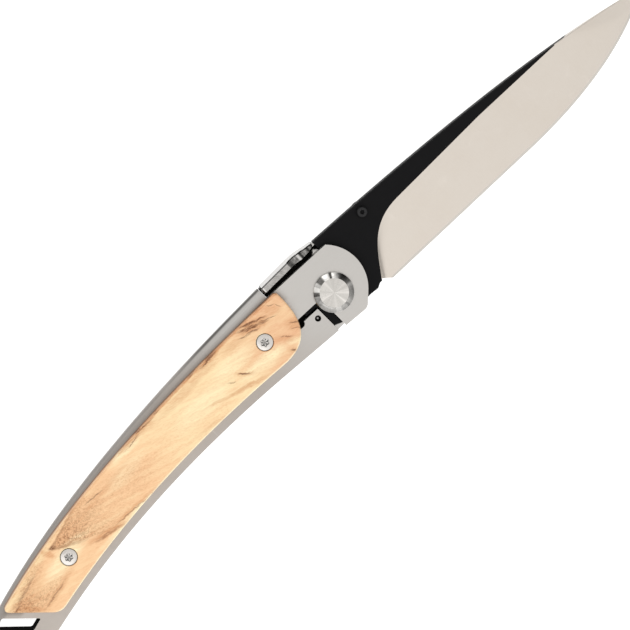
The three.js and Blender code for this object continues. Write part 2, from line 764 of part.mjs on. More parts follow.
function makeClipArm() {
  const start = clipRootLeft + seamGap;
  const steps = 2 * bowSteps;
  const front = [];
  for (let i = 0; i <= steps; i += 1) {
    const reach = start + (armReach - start) * (i / steps) ** armStepGrowth;
    front.push(point(-reach, armLevel(reach)));
  }
  const back = front.map((p) => point(p.x, p.y - clipThickness)).reverse();
  const side = new THREE.ExtrudeGeometry(new THREE.Shape([...front, ...back]), {
    depth: 2 * spineHeight,
    bevelEnabled: false,
  });
  side.rotateX(Math.PI / 2);
  side.translate(0, spineHeight, 0);

  const taper = (share) => Math.min(share / armTaperShare, 1);
  const rootMargin = spineHeight - armRootTop;
  const marginAt = (share) => rootMargin + (armTipMargin - rootMargin) * taper(share);
  const widthAt = (share) => armWidth + (armTipWidth - armWidth) * taper(share);
  const outer = sideways([point(0, spineHeight), ...spinePoints], marginAt);
  const inner = sideways(outer, widthAt);
  const short = (p) => p.x > -armReach;
  const outerRun = outer.filter(short);
  const innerRun = inner.filter(short);
  const tip = point(-armReach, (outerRun.at(-1).y + innerRun.at(-1).y) / 2);
  const outline = slab([...outerRun, tip, ...innerRun.reverse()], restLevel - cutPast, 0);
  addPiece('clip_arm', solidOf(side).intersect(outline), steelBright);
}

makeHandle();
makeLockBar();
makeScale();
makeScaleScrews();
makePivot();
makeBlade();
makeThumbStud();
makeStopPin();
makeClipMount();
makeClipArm();

// Origin under the middle of the knife, on the level it rests on
const box = new THREE.Box3().setFromObject(knife);
const middle = box.getCenter(new THREE.Vector3());
knife.position.set(-middle.x, -middle.y, -box.min.z);
knife.updateMatrixWorld(true);

export default knife;
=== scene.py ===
import math

import bmesh
import bpy
from mathutils import Matrix, Vector


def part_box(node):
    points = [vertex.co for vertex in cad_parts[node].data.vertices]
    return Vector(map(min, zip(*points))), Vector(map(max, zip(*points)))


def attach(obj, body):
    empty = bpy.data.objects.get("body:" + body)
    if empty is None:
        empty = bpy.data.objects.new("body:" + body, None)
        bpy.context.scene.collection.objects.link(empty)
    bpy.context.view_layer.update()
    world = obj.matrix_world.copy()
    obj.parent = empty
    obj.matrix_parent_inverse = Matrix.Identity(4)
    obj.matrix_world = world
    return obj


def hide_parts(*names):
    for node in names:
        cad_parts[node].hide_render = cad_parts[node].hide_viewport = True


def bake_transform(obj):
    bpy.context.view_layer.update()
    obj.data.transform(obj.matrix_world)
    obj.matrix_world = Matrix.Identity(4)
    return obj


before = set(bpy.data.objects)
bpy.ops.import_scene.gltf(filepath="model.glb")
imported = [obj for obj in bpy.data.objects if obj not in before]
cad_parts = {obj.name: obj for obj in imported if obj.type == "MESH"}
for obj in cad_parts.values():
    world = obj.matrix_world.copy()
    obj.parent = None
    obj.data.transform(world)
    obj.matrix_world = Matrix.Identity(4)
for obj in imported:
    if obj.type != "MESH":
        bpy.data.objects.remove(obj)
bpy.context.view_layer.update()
print("frame loaded:", len(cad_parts), "nodes")

# Shapes are drawn in millimetres round the pivot: X to the tip, Y to the spine, Z out of the wood.
# home is the pivot's place on the front face of the handle plate, in metres.
pivotHeadHeight = 1.2
barrelLow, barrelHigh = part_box("pivot_barrel")
home = Vector((
    (barrelLow.x + barrelHigh.x) / 2,
    (barrelLow.y + barrelHigh.y) / 2,
    barrelHigh.z - pivotHeadHeight / 1000,
))
toFrame = Matrix.Translation(home) @ Matrix.Scale(0.001, 4)

levels = {
    "plateBack": -1.2,
    "bladeFront": -1.5,
    "bladeBack": -3.9,
    "clipFront": -4.2,
    "clipBack": -5.1,
    "lipBack": -5.4,
    "rest": -6.9,
}


# Outlines and meshes

def at(x, y):
    return Vector((x, y))


def bow(a, b, c, steps=24):
    shares = [i / steps for i in range(steps + 1)]
    return [a * (1 - t) ** 2 + b * (2 * t * (1 - t)) + c * t * t for t in shares]


def bend(a, b, c, d, steps=24):
    shares = [i / steps for i in range(steps + 1)]
    return [
        a * (1 - t) ** 3 + b * (3 * t * (1 - t) ** 2) + c * (3 * t * t * (1 - t)) + d * t ** 3
        for t in shares
    ]


def arc(centre, radius, start, stop, steps=24):
    angles = [math.radians(start + (stop - start) * i / steps) for i in range(steps + 1)]
    return [centre + radius * at(math.cos(a), math.sin(a)) for a in angles]


def mixed(a, b, share):
    return a + (b - a) * share


def eased(value, low, high):
    t = min(max((value - low) / (high - low), 0), 1)
    return t * t * (3 - 2 * t)


def sideways(points, marginAt):  # moves an open run of points to its left
    moved = []
    last = len(points) - 1
    for i, p in enumerate(points):
        along = (points[min(i + 1, last)] - points[max(i - 1, 0)]).normalized()
        margin = marginAt(i / last)
        moved.append(at(p.x - along.y * margin, p.y + along.x * margin))
    return moved


def joinRounded(first, second, reach, steps=6):
    corner = first[-1]
    kept = [p for p in first if (p - corner).length > reach]
    rest = [p for p in second if (p - corner).length > reach]
    inward = corner + (kept[-1] - corner).normalized() * reach
    outward = corner + (rest[0] - corner).normalized() * reach
    return kept + bow(inward, corner, outward, steps) + rest


def heightOn(run, x):  # a run from right to left
    for a, b in zip(run, run[1:]):
        if b.x <= x <= a.x:
            return mixed(a.y, b.y, (x - a.x) / (b.x - a.x))
    return run[-1].y


def nearest(p, run):
    gaps = []
    for a, b in zip(run, run[1:]):
        share = min(max((p - a).dot(b - a) / (b - a).length_squared, 0), 1)
        gaps.append((p - mixed(a, b, share)).length)
    return min(gaps)


def crossing(a, b, place, along):
    run = b - a
    share = (place - a).cross(along) / run.cross(along)
    return a + run * share


def closedShape(rings):
    # Rings of points joined one to the next; a ring of one point closes an end
    bm = bmesh.new()
    rows = [[bm.verts.new(p) for p in ring] for ring in rings]
    for first, second in zip(rows, rows[1:]):
        count = max(len(first), len(second))
        for i in range(count):
            j = (i + 1) % count
            if len(first) == 1:
                bm.faces.new((first[0], second[i], second[j]))
            elif len(second) == 1:
                bm.faces.new((first[i], first[j], second[0]))
            else:
                bm.faces.new((first[i], first[j], second[j], second[i]))
    for row in (rows[0], rows[-1]):
        if len(row) > 1:
            bm.faces.new(row)
    bmesh.ops.recalc_face_normals(bm, faces=bm.faces[:])
    return bm


def slab(outline, low, high):
    return closedShape([[(p.x, p.y, z) for p in outline] for z in (low, high)])


def turned(profile, place, steps=72):
    # Rows of (radius, level) or (radius, level, swing); the swing gives a ring its six lobes
    rings = []
    for radius, level, *swing in profile:
        if radius == 0:
            rings.append([(place.x, place.y, level)])
            continue
        ring = []
        for i in range(steps):
            angle = 2 * math.pi * i / steps
            reach = radius * (1 + (swing[0] if swing else 0) * math.cos(6 * angle))
            ring.append((place.x + reach * math.cos(angle), place.y + reach * math.sin(angle), level))
        rings.append(ring)
    return closedShape(rings)


def carve(bm, cutters, operation="DIFFERENCE"):
    objects = []
    for shape in (bm, *cutters):
        mesh = bpy.data.meshes.new("carving")
        shape.to_mesh(mesh)
        shape.free()
        objects.append(bpy.data.objects.new("carving", mesh))
        bpy.context.scene.collection.objects.link(objects[-1])
    for cutter in objects[1:]:
        cut = objects[0].modifiers.new("cut", "BOOLEAN")
        cut.object = cutter
        cut.operation = operation
        cut.solver = "EXACT"
    bpy.context.view_layer.update()
    seen = objects[0].evaluated_get(bpy.context.evaluated_depsgraph_get())
    result = bmesh.new()
    result.from_mesh(seen.to_mesh())
    for leftOver in objects:
        bpy.data.objects.remove(leftOver)
    return result


def soften(bm, width, segments=2, sharper=30, where=None):
    edges = [
        e for e in bm.edges
        if len(e.link_faces) == 2 and e.calc_face_angle(0) > math.radians(sharper)
        and (where is None or where(e))
    ]
    bmesh.ops.bevel(
        bm, geom=edges, offset=width, offset_type="OFFSET", segments=segments,
        profile=0.5, affect="EDGES", clamp_overlap=True, material=-1,
    )
    return bm


def addPiece(name, bm, materials, nodes, body="handle", crease=35):
    # Turns a drawn shape into a piece that rides on a body and stands for CAD nodes
    mesh = bpy.data.meshes.new(name)
    for e in bm.edges:
        faces = e.link_faces
        if len(faces) == 2:
            apart = faces[0].material_index != faces[1].material_index
            e.smooth = not (apart or e.calc_face_angle(0) > math.radians(crease))
    for f in bm.faces:
        f.smooth = True
    bm.to_mesh(mesh)
    bm.free()
    mesh.transform(toFrame)
    for material in materials:
        mesh.materials.append(material)
    piece = bpy.data.objects.new(name, mesh)
    bpy.context.scene.collection.objects.link(piece)
    weighted = piece.modifiers.new("evenNormals", "WEIGHTED_NORMAL")
    weighted.keep_sharp = True
    if body:
        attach(piece, body)
    if nodes:
        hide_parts(*nodes)
    return piece


# Shader node groups and materials

def addNode(tree, kind, inputs=None, **settings):
    made = tree.nodes.new("ShaderNode" + kind)
    for name, value in settings.items():
        setattr(made, name, value)
    for name, value in (inputs or {}).items():
        if isinstance(value, bpy.types.NodeSocket):
            tree.links.new(value, made.inputs[name])
        else:
            made.inputs[name].default_value = value
    return made


def number(tree, operation, a, b=0.0, clamp=False):
    return addNode(tree, "Math", {0: a, 1: b}, operation=operation, use_clamp=clamp).outputs[0]


def times(tree, *factors):
    result = factors[0]
    for factor in factors[1:]:
        result = number(tree, "MULTIPLY", result, factor)
    return result


def ranged(tree, value, low, high, to=(0.0, 1.0), smooth=True):
    kind = "SMOOTHSTEP" if smooth else "LINEAR"
    inputs = {"Value": value, "From Min": low, "From Max": high, "To Min": to[0], "To Max": to[1]}
    return addNode(tree, "MapRange", inputs, interpolation_type=kind).outputs["Result"]


def tinted(tree, share, a, b):
    return addNode(tree, "Mix", {0: share, 6: a, 7: b}, data_type="RGBA").outputs[2]


def startGroup(name, inputs, outputs):
    tree = bpy.data.node_groups.new(name, "ShaderNodeTree")
    kinds = {"vector": "NodeSocketVector", "value": "NodeSocketFloat"}
    for label, kind, start in inputs:
        socket = tree.interface.new_socket(name=label, in_out="INPUT", socket_type=kinds[kind])
        if start is not None:
            socket.default_value = start
    for label in outputs:
        tree.interface.new_socket(name=label, in_out="OUTPUT", socket_type="NodeSocketFloat")
    entry = tree.nodes.new("NodeGroupInput")
    leave = tree.nodes.new("NodeGroupOutput")
    return tree, entry.outputs, leave.inputs


def useGroup(tree, group, **inputs):
    made = addNode(tree, "Group", node_tree=group)
    for name, value in inputs.items():
        if isinstance(value, bpy.types.NodeSocket):
            tree.links.new(value, made.inputs[name])
        else:
            made.inputs[name].default_value = value
    return made.outputs


def fineLinesGroup():
    # Long thin lines in one direction, as left by a belt or by growing wood
    tree, given, result = startGroup(
        "fineLines",
        [("Place", "vector", None), ("Turn", "value", 0.0), ("Along", "value", 0.3), ("Across", "value", 12.0)],
        ["Lines", "Height"],
    )
    spun = addNode(
        tree, "VectorRotate", {"Vector": given["Place"], "Angle": given["Turn"]}, rotation_type="Z_AXIS",
    )
    stretch = addNode(tree, "CombineXYZ", {"X": given["Along"], "Y": given["Across"], "Z": given["Across"]})
    run = addNode(tree, "VectorMath", {0: spun.outputs[0], 1: stretch.outputs[0]}, operation="MULTIPLY")
    grain = addNode(tree, "TexNoise", {"Vector": run.outputs[0], "Scale": 1.0, "Detail": 5.0, "Roughness": 0.65})
    tree.links.new(grain.outputs["Fac"], result["Height"])
    tree.links.new(ranged(tree, grain.outputs["Fac"], 0.36, 0.64), result["Lines"])
    return tree


def scuffsGroup():
    # Cloudy patches from handling, and a few hair scratches that break off
    tree, given, result = startGroup(
        "handlingScuffs",
        [("Place", "vector", None), ("Size", "value", 0.2), ("Scratches", "value", 0.25)],
        ["Clouds", "Scratches"],
    )
    clouds = addNode(
        tree, "TexNoise", {"Vector": given["Place"], "Scale": given["Size"], "Detail": 6.0, "Roughness": 0.7},
    )
    tree.links.new(ranged(tree, clouds.outputs["Fac"], 0.35, 0.68), result["Clouds"])
    wander = addNode(tree, "TexNoise", {"Vector": given["Place"], "Scale": 0.22, "Detail": 2.0})
    bent = addNode(
        tree, "VectorMath", {0: wander.outputs["Color"], 1: (5.0, 5.0, 5.0), 2: given["Place"]},
        operation="MULTIPLY_ADD",
    )
    cells = addNode(
        tree, "TexVoronoi", {"Vector": bent.outputs[0], "Scale": given["Scratches"]}, feature="DISTANCE_TO_EDGE",
    )
    hairs = ranged(tree, cells.outputs["Distance"], 0.0, 0.012, to=(1.0, 0.0))
    broken = ranged(tree, clouds.outputs["Fac"], 0.5, 0.6)
    tree.links.new(times(tree, hairs, broken), result["Scratches"])
    return tree


def edgeRubGroup():
    # How near a point is to an outer edge, with the rub broken up by noise
    tree, given, result = startGroup(
        "edgeRub",
        [("Place", "vector", None), ("Width", "value", 0.0003), ("Noise", "value", 1.2)],
        ["Rub"],
    )
    rounded = addNode(tree, "Bevel", {"Radius": given["Width"]}, samples=6)
    shape = addNode(tree, "NewGeometry")
    near = addNode(
        tree, "VectorMath", {0: rounded.outputs[0], 1: shape.outputs["Normal"]}, operation="DOT_PRODUCT",
    )
    edge = ranged(tree, near.outputs["Value"], 0.8, 0.995, to=(1.0, 0.0))
    patch = addNode(tree, "TexNoise", {"Vector": given["Place"], "Scale": given["Noise"], "Detail": 4.0})
    worn = ranged(tree, patch.outputs["Fac"], 0.3, 0.62, to=(0.25, 1.0))
    tree.links.new(times(tree, edge, worn), result["Rub"])
    return tree


def streakGroup():
    # One soft-ended streak of figure: a stretched spot with a wandering outline
    tree, given, result = startGroup(
        "figureStreak",
        [("Place", "vector", None), ("Centre", "vector", None), ("Turn", "value", 0.0),
         ("Size", "vector", None), ("Strength", "value", 1.0)],
        ["Mask"],
    )
    moved = addNode(tree, "VectorMath", {0: given["Place"], 1: given["Centre"]}, operation="SUBTRACT")
    spun = addNode(
        tree, "VectorRotate", {"Vector": moved.outputs[0], "Angle": given["Turn"]},
        rotation_type="Z_AXIS", invert=True,
    )
    scaled = addNode(tree, "VectorMath", {0: spun.outputs[0], 1: given["Size"]}, operation="DIVIDE")
    flatOnly = addNode(tree, "VectorMath", {0: scaled.outputs[0], 1: (1.0, 1.0, 0.0)}, operation="MULTIPLY")
    reach = addNode(tree, "VectorMath", {0: flatOnly.outputs[0]}, operation="LENGTH")
    spot = ranged(tree, reach.outputs["Value"], 0.3, 1.0, to=(1.0, 0.0))
    tree.links.new(times(tree, spot, given["Strength"]), result["Mask"])
    return tree


fineLines = fineLinesGroup()
scuffs = scuffsGroup()
edgeRub = edgeRubGroup()
figureStreak = streakGroup()


def startMaterial(name):
    material = bpy.data.materials.new(name)
    material.use_nodes = True
    tree = material.node_tree
    tree.nodes.clear()
    shader = addNode(tree, "BsdfPrincipled")
    output = addNode(tree, "OutputMaterial")
    tree.links.new(shader.outputs[0], output.inputs[0])
    spot = addNode(tree, "TexCoord")
    placed = addNode(
        tree, "Mapping",
        {"Vector": spot.outputs["Object"], "Location": -home * 1000, "Scale": (1000, 1000, 1000)},
    )
    return material, tree, shader.inputs, placed.outputs[0]


def bumped(tree, height, strength, distance=0.00002):
    bump = addNode(tree, "Bump", {"Height": height, "Strength": strength, "Distance": distance})
    return bump.outputs[0]


# How the handle's sheet changes along its length, in millimetres from the pivot, with painted shade and a painted dark
# reflection
handleShade = {
    # the long strip is coloured darker and warmer than the head: X + Y
    "farRun": (-6.0, -34.0),
    "farColour": (0.335, 0.305, 0.28, 1),
    # painted shade: the folded spine is coloured darker towards the butt, on the faces turned to the spine's side: how
    # far it faces the spine's side, and X
    "foldTurn": (0.02, 0.4),
    "foldRun": (-25.0, -60.0),
    "foldShadeTint": 0.4,
    "foldShadeColour": (0.2, 0.19, 0.18, 1),
    # a painted dark reflection: the dark line low on the fold, where the metal also loses its shine: two edges in Z,
    # and X, with what is left of it at the butt
    "lowTop": (-0.9, -1.55),
    "lowFoot": (-2.9, -1.8),
    "lowRun": (-42.0, -26.0),
    "lowLeast": 0.3,
    "paintedReflectionTint": 0.9,
    "paintedReflectionColour": (0.05, 0.048, 0.045, 1),
    "paintedReflectionSpecular": 0.06,
    # painted shadow of the wood's side along the fold, found by occlusion; its edge bows away from its middle
    "hemReach": 0.0018,
    "hemMiddle": -20.0,
    "hemBow": 0.00135,
    "hemEdge": (6.0, 7.0),
    "hemRun": (-5.0, -12.5),
    "hemFrom": 0.5,
    "paintedShadowTint": 0.85,
    "paintedShadowColour": (0.12, 0.095, 0.075, 1),
}


def shadeHandle(tree, place, body, s):
    along = addNode(tree, "SeparateXYZ", {0: place}).outputs
    far = ranged(tree, number(tree, "ADD", along["X"], along["Y"]), *s["farRun"])
    body = tinted(tree, far, body, s["farColour"])
    # painted dark reflection: a line low on the fold
    low = times(
        tree, ranged(tree, along["Z"], *s["lowTop"]), ranged(tree, along["Z"], *s["lowFoot"]),
        ranged(tree, along["X"], *s["lowRun"], to=(s["lowLeast"], 1.0)),
    )
    # painted shade on the faces turned to the spine's side, stronger towards the butt
    facing = addNode(tree, "SeparateXYZ", {0: addNode(tree, "TexCoord").outputs["Normal"]}).outputs["Y"]
    foldShade = times(tree, ranged(tree, facing, *s["foldTurn"]), ranged(tree, along["X"], *s["foldRun"]), s["foldShadeTint"])
    body = tinted(tree, foldShade, body, s["foldShadeColour"])
    body = tinted(tree, times(tree, low, s["paintedReflectionTint"]), body, s["paintedReflectionColour"])
    # painted shadow where the wood's side occludes the fold
    occlusion = addNode(tree, "AmbientOcclusion", {"Distance": s["hemReach"]}, samples=8).outputs["AO"]
    past = number(tree, "SUBTRACT", along["X"], s["hemMiddle"])
    spineSide = number(tree, "ADD", along["Y"], times(tree, past, past, s["hemBow"]))
    woodShadow = times(
        tree, ranged(tree, spineSide, *s["hemEdge"]), ranged(tree, along["X"], *s["hemRun"]),
        ranged(tree, occlusion, s["hemFrom"], 1.0, to=(1.0, 0.0), smooth=False), s["paintedShadowTint"],
    )
    return tinted(tree, woodShadow, body, s["paintedShadowColour"]), low


def steelMaterial(name, look, shade=None):
    material, tree, shader, place = startMaterial(name)
    lines = useGroup(tree, fineLines, Place=place, Turn=look["turn"], Along=look["along"], Across=look["across"])
    worn = useGroup(tree, scuffs, Place=place, Size=look["cloudSize"], Scratches=look["scratches"])
    rub = useGroup(tree, edgeRub, Place=place, Width=look["rubWidth"])
    metallic, specular = look.get("metallic", 1.0), look.get("specular", 0.5)
    shader["Metallic"].default_value = metallic
    shader["Specular IOR Level"].default_value = specular
    body = tinted(tree, times(tree, lines["Lines"], look["lineTint"]), look["colour"], look["lineColour"])
    body = tinted(tree, times(tree, worn["Clouds"], look["cloudTint"]), body, look["cloudColour"])
    if shade:
        body, low = shadeHandle(tree, place, body, shade)
        # where the painted dark reflection lies, the metal also loses its metallic shine and its specular
        tree.links.new(number(tree, "SUBTRACT", metallic, low), shader["Metallic"])
        dimmer = ranged(tree, low, 0.0, 1.0, to=(specular, shade["paintedReflectionSpecular"]))
        tree.links.new(dimmer, shader["Specular IOR Level"])
    body = tinted(tree, times(tree, rub["Rub"], look["rub"]), body, look["rubColour"])
    tree.links.new(body, shader["Base Color"])
    rough = number(tree, "ADD", times(tree, worn["Clouds"], look["cloudRough"]), look["roughness"])
    rough = number(tree, "SUBTRACT", rough, times(tree, worn["Scratches"], 0.12))
    tree.links.new(rough, shader["Roughness"])
    height = number(tree, "SUBTRACT", lines["Height"], worn["Scratches"])
    tree.links.new(bumped(tree, height, look["bump"]), shader["Normal"])
    return material


steelLooks = {
    "satinSteel": {
        "colour": (0.415, 0.403, 0.388, 1), "roughness": 0.34,
        "turn": 0.05, "along": 0.25, "across": 9.0, "lineTint": 0.25, "lineColour": (0.36, 0.35, 0.335, 1),
        "cloudSize": 0.16, "cloudTint": 0.35, "cloudColour": (0.43, 0.42, 0.405, 1), "cloudRough": 0.1,
        "scratches": 0.12, "rubWidth": 0.00025, "rub": 0.5, "rubColour": (0.55, 0.54, 0.52, 1), "bump": 0.12,
    },
    "polishedSteel": {
        "colour": (0.39, 0.382, 0.37, 1), "roughness": 0.07,
        "turn": 0.0, "along": 0.4, "across": 14.0, "lineTint": 0.2, "lineColour": (0.42, 0.41, 0.4, 1),
        "cloudSize": 0.5, "cloudTint": 0.25, "cloudColour": (0.56, 0.55, 0.54, 1), "cloudRough": 0.08,
        "scratches": 0.4, "rubWidth": 0.00015, "rub": 0.4, "rubColour": (0.8, 0.79, 0.77, 1), "bump": 0.04,
    },
    "groundSteel": {
        "colour": (0.5, 0.46, 0.415, 1), "roughness": 0.36,
        "turn": 1.5, "along": 0.35, "across": 8.0, "lineTint": 0.3, "lineColour": (0.465, 0.425, 0.38, 1),
        "cloudSize": 0.08, "cloudTint": 0.35, "cloudColour": (0.55, 0.515, 0.475, 1), "cloudRough": 0.06,
        "scratches": 0.05, "rubWidth": 0.0002, "rub": 0.2, "rubColour": (0.6, 0.57, 0.54, 1), "bump": 0.08,
    },
    "honedSteel": {
        "colour": (0.47, 0.448, 0.42, 1), "roughness": 0.12,
        "turn": 1.4, "along": 0.6, "across": 12.0, "lineTint": 0.2, "lineColour": (0.43, 0.41, 0.385, 1),
        "cloudSize": 0.3, "cloudTint": 0.25, "cloudColour": (0.56, 0.54, 0.51, 1), "cloudRough": 0.08,
        "scratches": 0.3, "rubWidth": 0.00015, "rub": 0.4, "rubColour": (0.75, 0.73, 0.7, 1), "bump": 0.05,
    },
    "screwSteel": {
        "colour": (0.5, 0.475, 0.45, 1), "roughness": 0.22,
        "turn": 0.6, "along": 1.5, "across": 9.0, "lineTint": 0.3, "lineColour": (0.38, 0.37, 0.355, 1),
        "cloudSize": 0.6, "cloudTint": 0.4, "cloudColour": (0.55, 0.535, 0.51, 1), "cloudRough": 0.08,
        "scratches": 0.4, "rubWidth": 0.0001, "rub": 0.4, "rubColour": (0.6, 0.59, 0.575, 1), "bump": 0.15,
    },
    "blackCoating": {
        "colour": (0.0035, 0.0035, 0.004, 1), "roughness": 0.45, "metallic": 0.0, "specular": 0.065,
        "turn": 0.02, "along": 0.6, "across": 5.0, "lineTint": 0.25, "lineColour": (0.006, 0.006, 0.0065, 1),
        "cloudSize": 0.25, "cloudTint": 0.35, "cloudColour": (0.007, 0.007, 0.0075, 1), "cloudRough": 0.08,
        "scratches": 0.1, "rubWidth": 0.00022, "rub": 0.3, "rubColour": (0.16, 0.16, 0.16, 1), "bump": 0.1,
    },
    # polished steel coloured very dark: painted shade in the scale screws' recesses, and the flange past its step
    # coloured dark as well
    "paintedDarkSteel": {
        "colour": (0.11, 0.107, 0.103, 1), "roughness": 0.12,
        "turn": 0.3, "along": 1.5, "across": 6.0, "lineTint": 0.4, "lineColour": (0.05, 0.048, 0.046, 1),
        "cloudSize": 1.6, "cloudTint": 0.8, "cloudColour": (0.27, 0.265, 0.257, 1), "cloudRough": 0.1,
        "scratches": 0.6, "rubWidth": 0.00012, "rub": 0.6, "rubColour": (0.8, 0.79, 0.77, 1), "bump": 0.15,
    },
    "brushedSteel": {
        "colour": (0.34, 0.33, 0.318, 1), "roughness": 0.24,
        "turn": 0.9, "along": 1.0, "across": 5.0, "lineTint": 0.75, "lineColour": (0.17, 0.165, 0.16, 1),
        "cloudSize": 0.9, "cloudTint": 0.6, "cloudColour": (0.42, 0.41, 0.4, 1), "cloudRough": 0.1,
        "scratches": 0.7, "rubWidth": 0.00014, "rub": 0.9, "rubColour": (0.85, 0.84, 0.82, 1), "bump": 0.2,
    },
    "blackedSteel": {
        "colour": (0.008, 0.008, 0.009, 1), "roughness": 0.3, "metallic": 0.0,
        "turn": 0.1, "along": 2.0, "across": 6.0, "lineTint": 0.3, "lineColour": (0.02, 0.02, 0.021, 1),
        "cloudSize": 0.8, "cloudTint": 0.4, "cloudColour": (0.016, 0.016, 0.017, 1), "cloudRough": 0.12,
        "scratches": 0.5, "rubWidth": 0.00012, "rub": 0.6, "rubColour": (0.12, 0.12, 0.125, 1), "bump": 0.2,
        "specular": 0.2,
    },
    # near black and without shine: painted shade in slots, gaps and hidden faces of the handle and clip
    "paintedShadeSteel": {
        "colour": (0.008, 0.008, 0.0075, 1), "roughness": 0.55, "metallic": 0.0,
        "turn": 0.1, "along": 0.5, "across": 6.0, "lineTint": 0.3, "lineColour": (0.014, 0.013, 0.012, 1),
        "cloudSize": 0.4, "cloudTint": 0.4, "cloudColour": (0.018, 0.017, 0.016, 1), "cloudRough": 0.1,
        "scratches": 0.3, "rubWidth": 0.0001, "rub": 0.15, "rubColour": (0.03, 0.03, 0.03, 1), "bump": 0.1,
        "specular": 0.0,
    },
    # steel coloured darker than the rest: painted shade, so the detent ball in its hole reflects dimly
    "paintedShadeBallSteel": {
        "colour": (0.27, 0.265, 0.26, 1), "roughness": 0.12,
        "turn": 0.1, "along": 2.0, "across": 6.0, "lineTint": 0.2, "lineColour": (0.09, 0.085, 0.08, 1),
        "cloudSize": 1.5, "cloudTint": 0.5, "cloudColour": (0.2, 0.195, 0.19, 1), "cloudRough": 0.1,
        "scratches": 0.5, "rubWidth": 0.0001, "rub": 0.1, "rubColour": (0.3, 0.3, 0.3, 1), "bump": 0.1,
    },
    "washerBronze": {
        "colour": (0.5, 0.33, 0.13, 1), "roughness": 0.32,
        "turn": 0.3, "along": 2.0, "across": 6.0, "lineTint": 0.3, "lineColour": (0.4, 0.26, 0.1, 1),
        "cloudSize": 0.5, "cloudTint": 0.3, "cloudColour": (0.58, 0.4, 0.18, 1), "cloudRough": 0.1,
        "scratches": 0.3, "rubWidth": 0.0001, "rub": 0.5, "rubColour": (0.7, 0.52, 0.28, 1), "bump": 0.08,
    },
}
metals = {name: steelMaterial(name, look) for name, look in steelLooks.items() if name != "satinSteel"}
metals["satinSteel"] = steelMaterial("satinSteel", steelLooks["satinSteel"], handleShade)


def turnedSteelMaterial():
    # Faced off in a lathe: rings round the axis, with painted highlight rays fanning out from the middle and painted
    # shade between them
    look = {
        "colour": (0.5, 0.485, 0.465, 1), "ringColour": (0.45, 0.44, 0.42, 1), "rings": 5.0,
        "paintedRays": 1.9, "paintedRayColour": (0.62, 0.6, 0.575, 1), "paintedRayGapColour": (0.4, 0.39, 0.37, 1),
    }
    material, tree, shader, place = startMaterial("turnedSteel")
    flatPlace = addNode(tree, "VectorMath", {0: place, 1: (1.0, 1.0, 0.0)}, operation="MULTIPLY")
    reach = addNode(tree, "VectorMath", {0: flatPlace.outputs[0]}, operation="LENGTH").outputs["Value"]
    ringPlace = addNode(tree, "CombineXYZ", {"X": reach})
    rings = addNode(
        tree, "TexNoise",
        {"Vector": ringPlace.outputs[0], "Scale": look["rings"], "Detail": 6.0, "Roughness": 0.75},
    )
    worn = useGroup(tree, scuffs, Place=place, Size=0.5, Scratches=0.3)
    ring = ranged(tree, rings.outputs["Fac"], 0.35, 0.65)
    way = addNode(tree, "VectorMath", {0: flatPlace.outputs[0]}, operation="NORMALIZE").outputs[0]
    paintedRays = addNode(tree, "TexNoise", {"Vector": way, "Scale": look["paintedRays"], "Detail": 2.0, "Roughness": 0.6})
    colour = tinted(tree, ring, look["ringColour"], look["colour"])
    # painted highlight rays, then painted shade in the gaps between them
    colour = tinted(tree, ranged(tree, paintedRays.outputs["Fac"], 0.5, 0.62, to=(0.0, 0.7)), colour, look["paintedRayColour"])
    colour = tinted(tree, ranged(tree, paintedRays.outputs["Fac"], 0.48, 0.36, to=(0.0, 0.6)), colour, look["paintedRayGapColour"])
    tree.links.new(colour, shader["Base Color"])
    tree.links.new(ranged(tree, worn["Clouds"], 0.0, 1.0, to=(0.26, 0.36)), shader["Roughness"])
    tree.links.new(bumped(tree, rings.outputs["Fac"], 0.1), shader["Normal"])
    around = addNode(tree, "Tangent", direction_type="RADIAL", axis="Z")
    tree.links.new(around.outputs[0], shader["Tangent"])
    shader["Metallic"].default_value = 1.0
    shader["Anisotropic"].default_value = 0.8
    return material


metals["turnedSteel"] = turnedSteelMaterial()


def turnedBevelMaterial():
    # The bevel round the pivot's head: painted reflections that turn it light and dark all the way round
    look = {
        "dark": (0.05, 0.048, 0.045, 1), "light": (0.8, 0.79, 0.77, 1), "base": 0.46,
        # painted reflections: angle, half width in degrees, and how much lighter or darker
        "paintedReflections": [
            (58, 5, -0.5), (42, 14, 0.3), (74, 12, 0.35), (8, 24, -0.42), (-45, 26, -0.12), (-84, 5, -0.2),
            (-118, 12, 0.25), (165, 20, -0.2), (142, 8, -0.45), (126, 9, 0.35), (96, 13, -0.42),
        ],
    }
    material, tree, shader, place = startMaterial("paintedReflectionBevel")
    flat = addNode(tree, "VectorMath", {0: place, 1: (1.0, 1.0, 0.0)}, operation="MULTIPLY").outputs[0]
    way = addNode(tree, "VectorMath", {0: flat}, operation="NORMALIZE").outputs[0]
    share = look["base"]
    for angle, halfWidth, strength in look["paintedReflections"]:
        a = math.radians(angle)
        aim = (math.cos(a), math.sin(a), 0)
        near = addNode(tree, "VectorMath", {0: way, 1: aim}, operation="DOT_PRODUCT").outputs["Value"]
        cut = ranged(tree, near, math.cos(math.radians(halfWidth)), math.cos(math.radians(halfWidth * 0.5)))
        share = number(tree, "ADD", share, times(tree, cut, strength))
    worn = useGroup(tree, scuffs, Place=place, Size=1.2, Scratches=0.5)
    share = number(tree, "ADD", share, times(tree, worn["Clouds"], 0.12), clamp=True)
    tree.links.new(tinted(tree, share, look["dark"], look["light"]), shader["Base Color"])
    tree.links.new(ranged(tree, worn["Clouds"], 0.0, 1.0, to=(0.1, 0.18)), shader["Roughness"])
    shader["Metallic"].default_value = 1.0
    return material


metals["paintedReflectionBevel"] = turnedBevelMaterial()

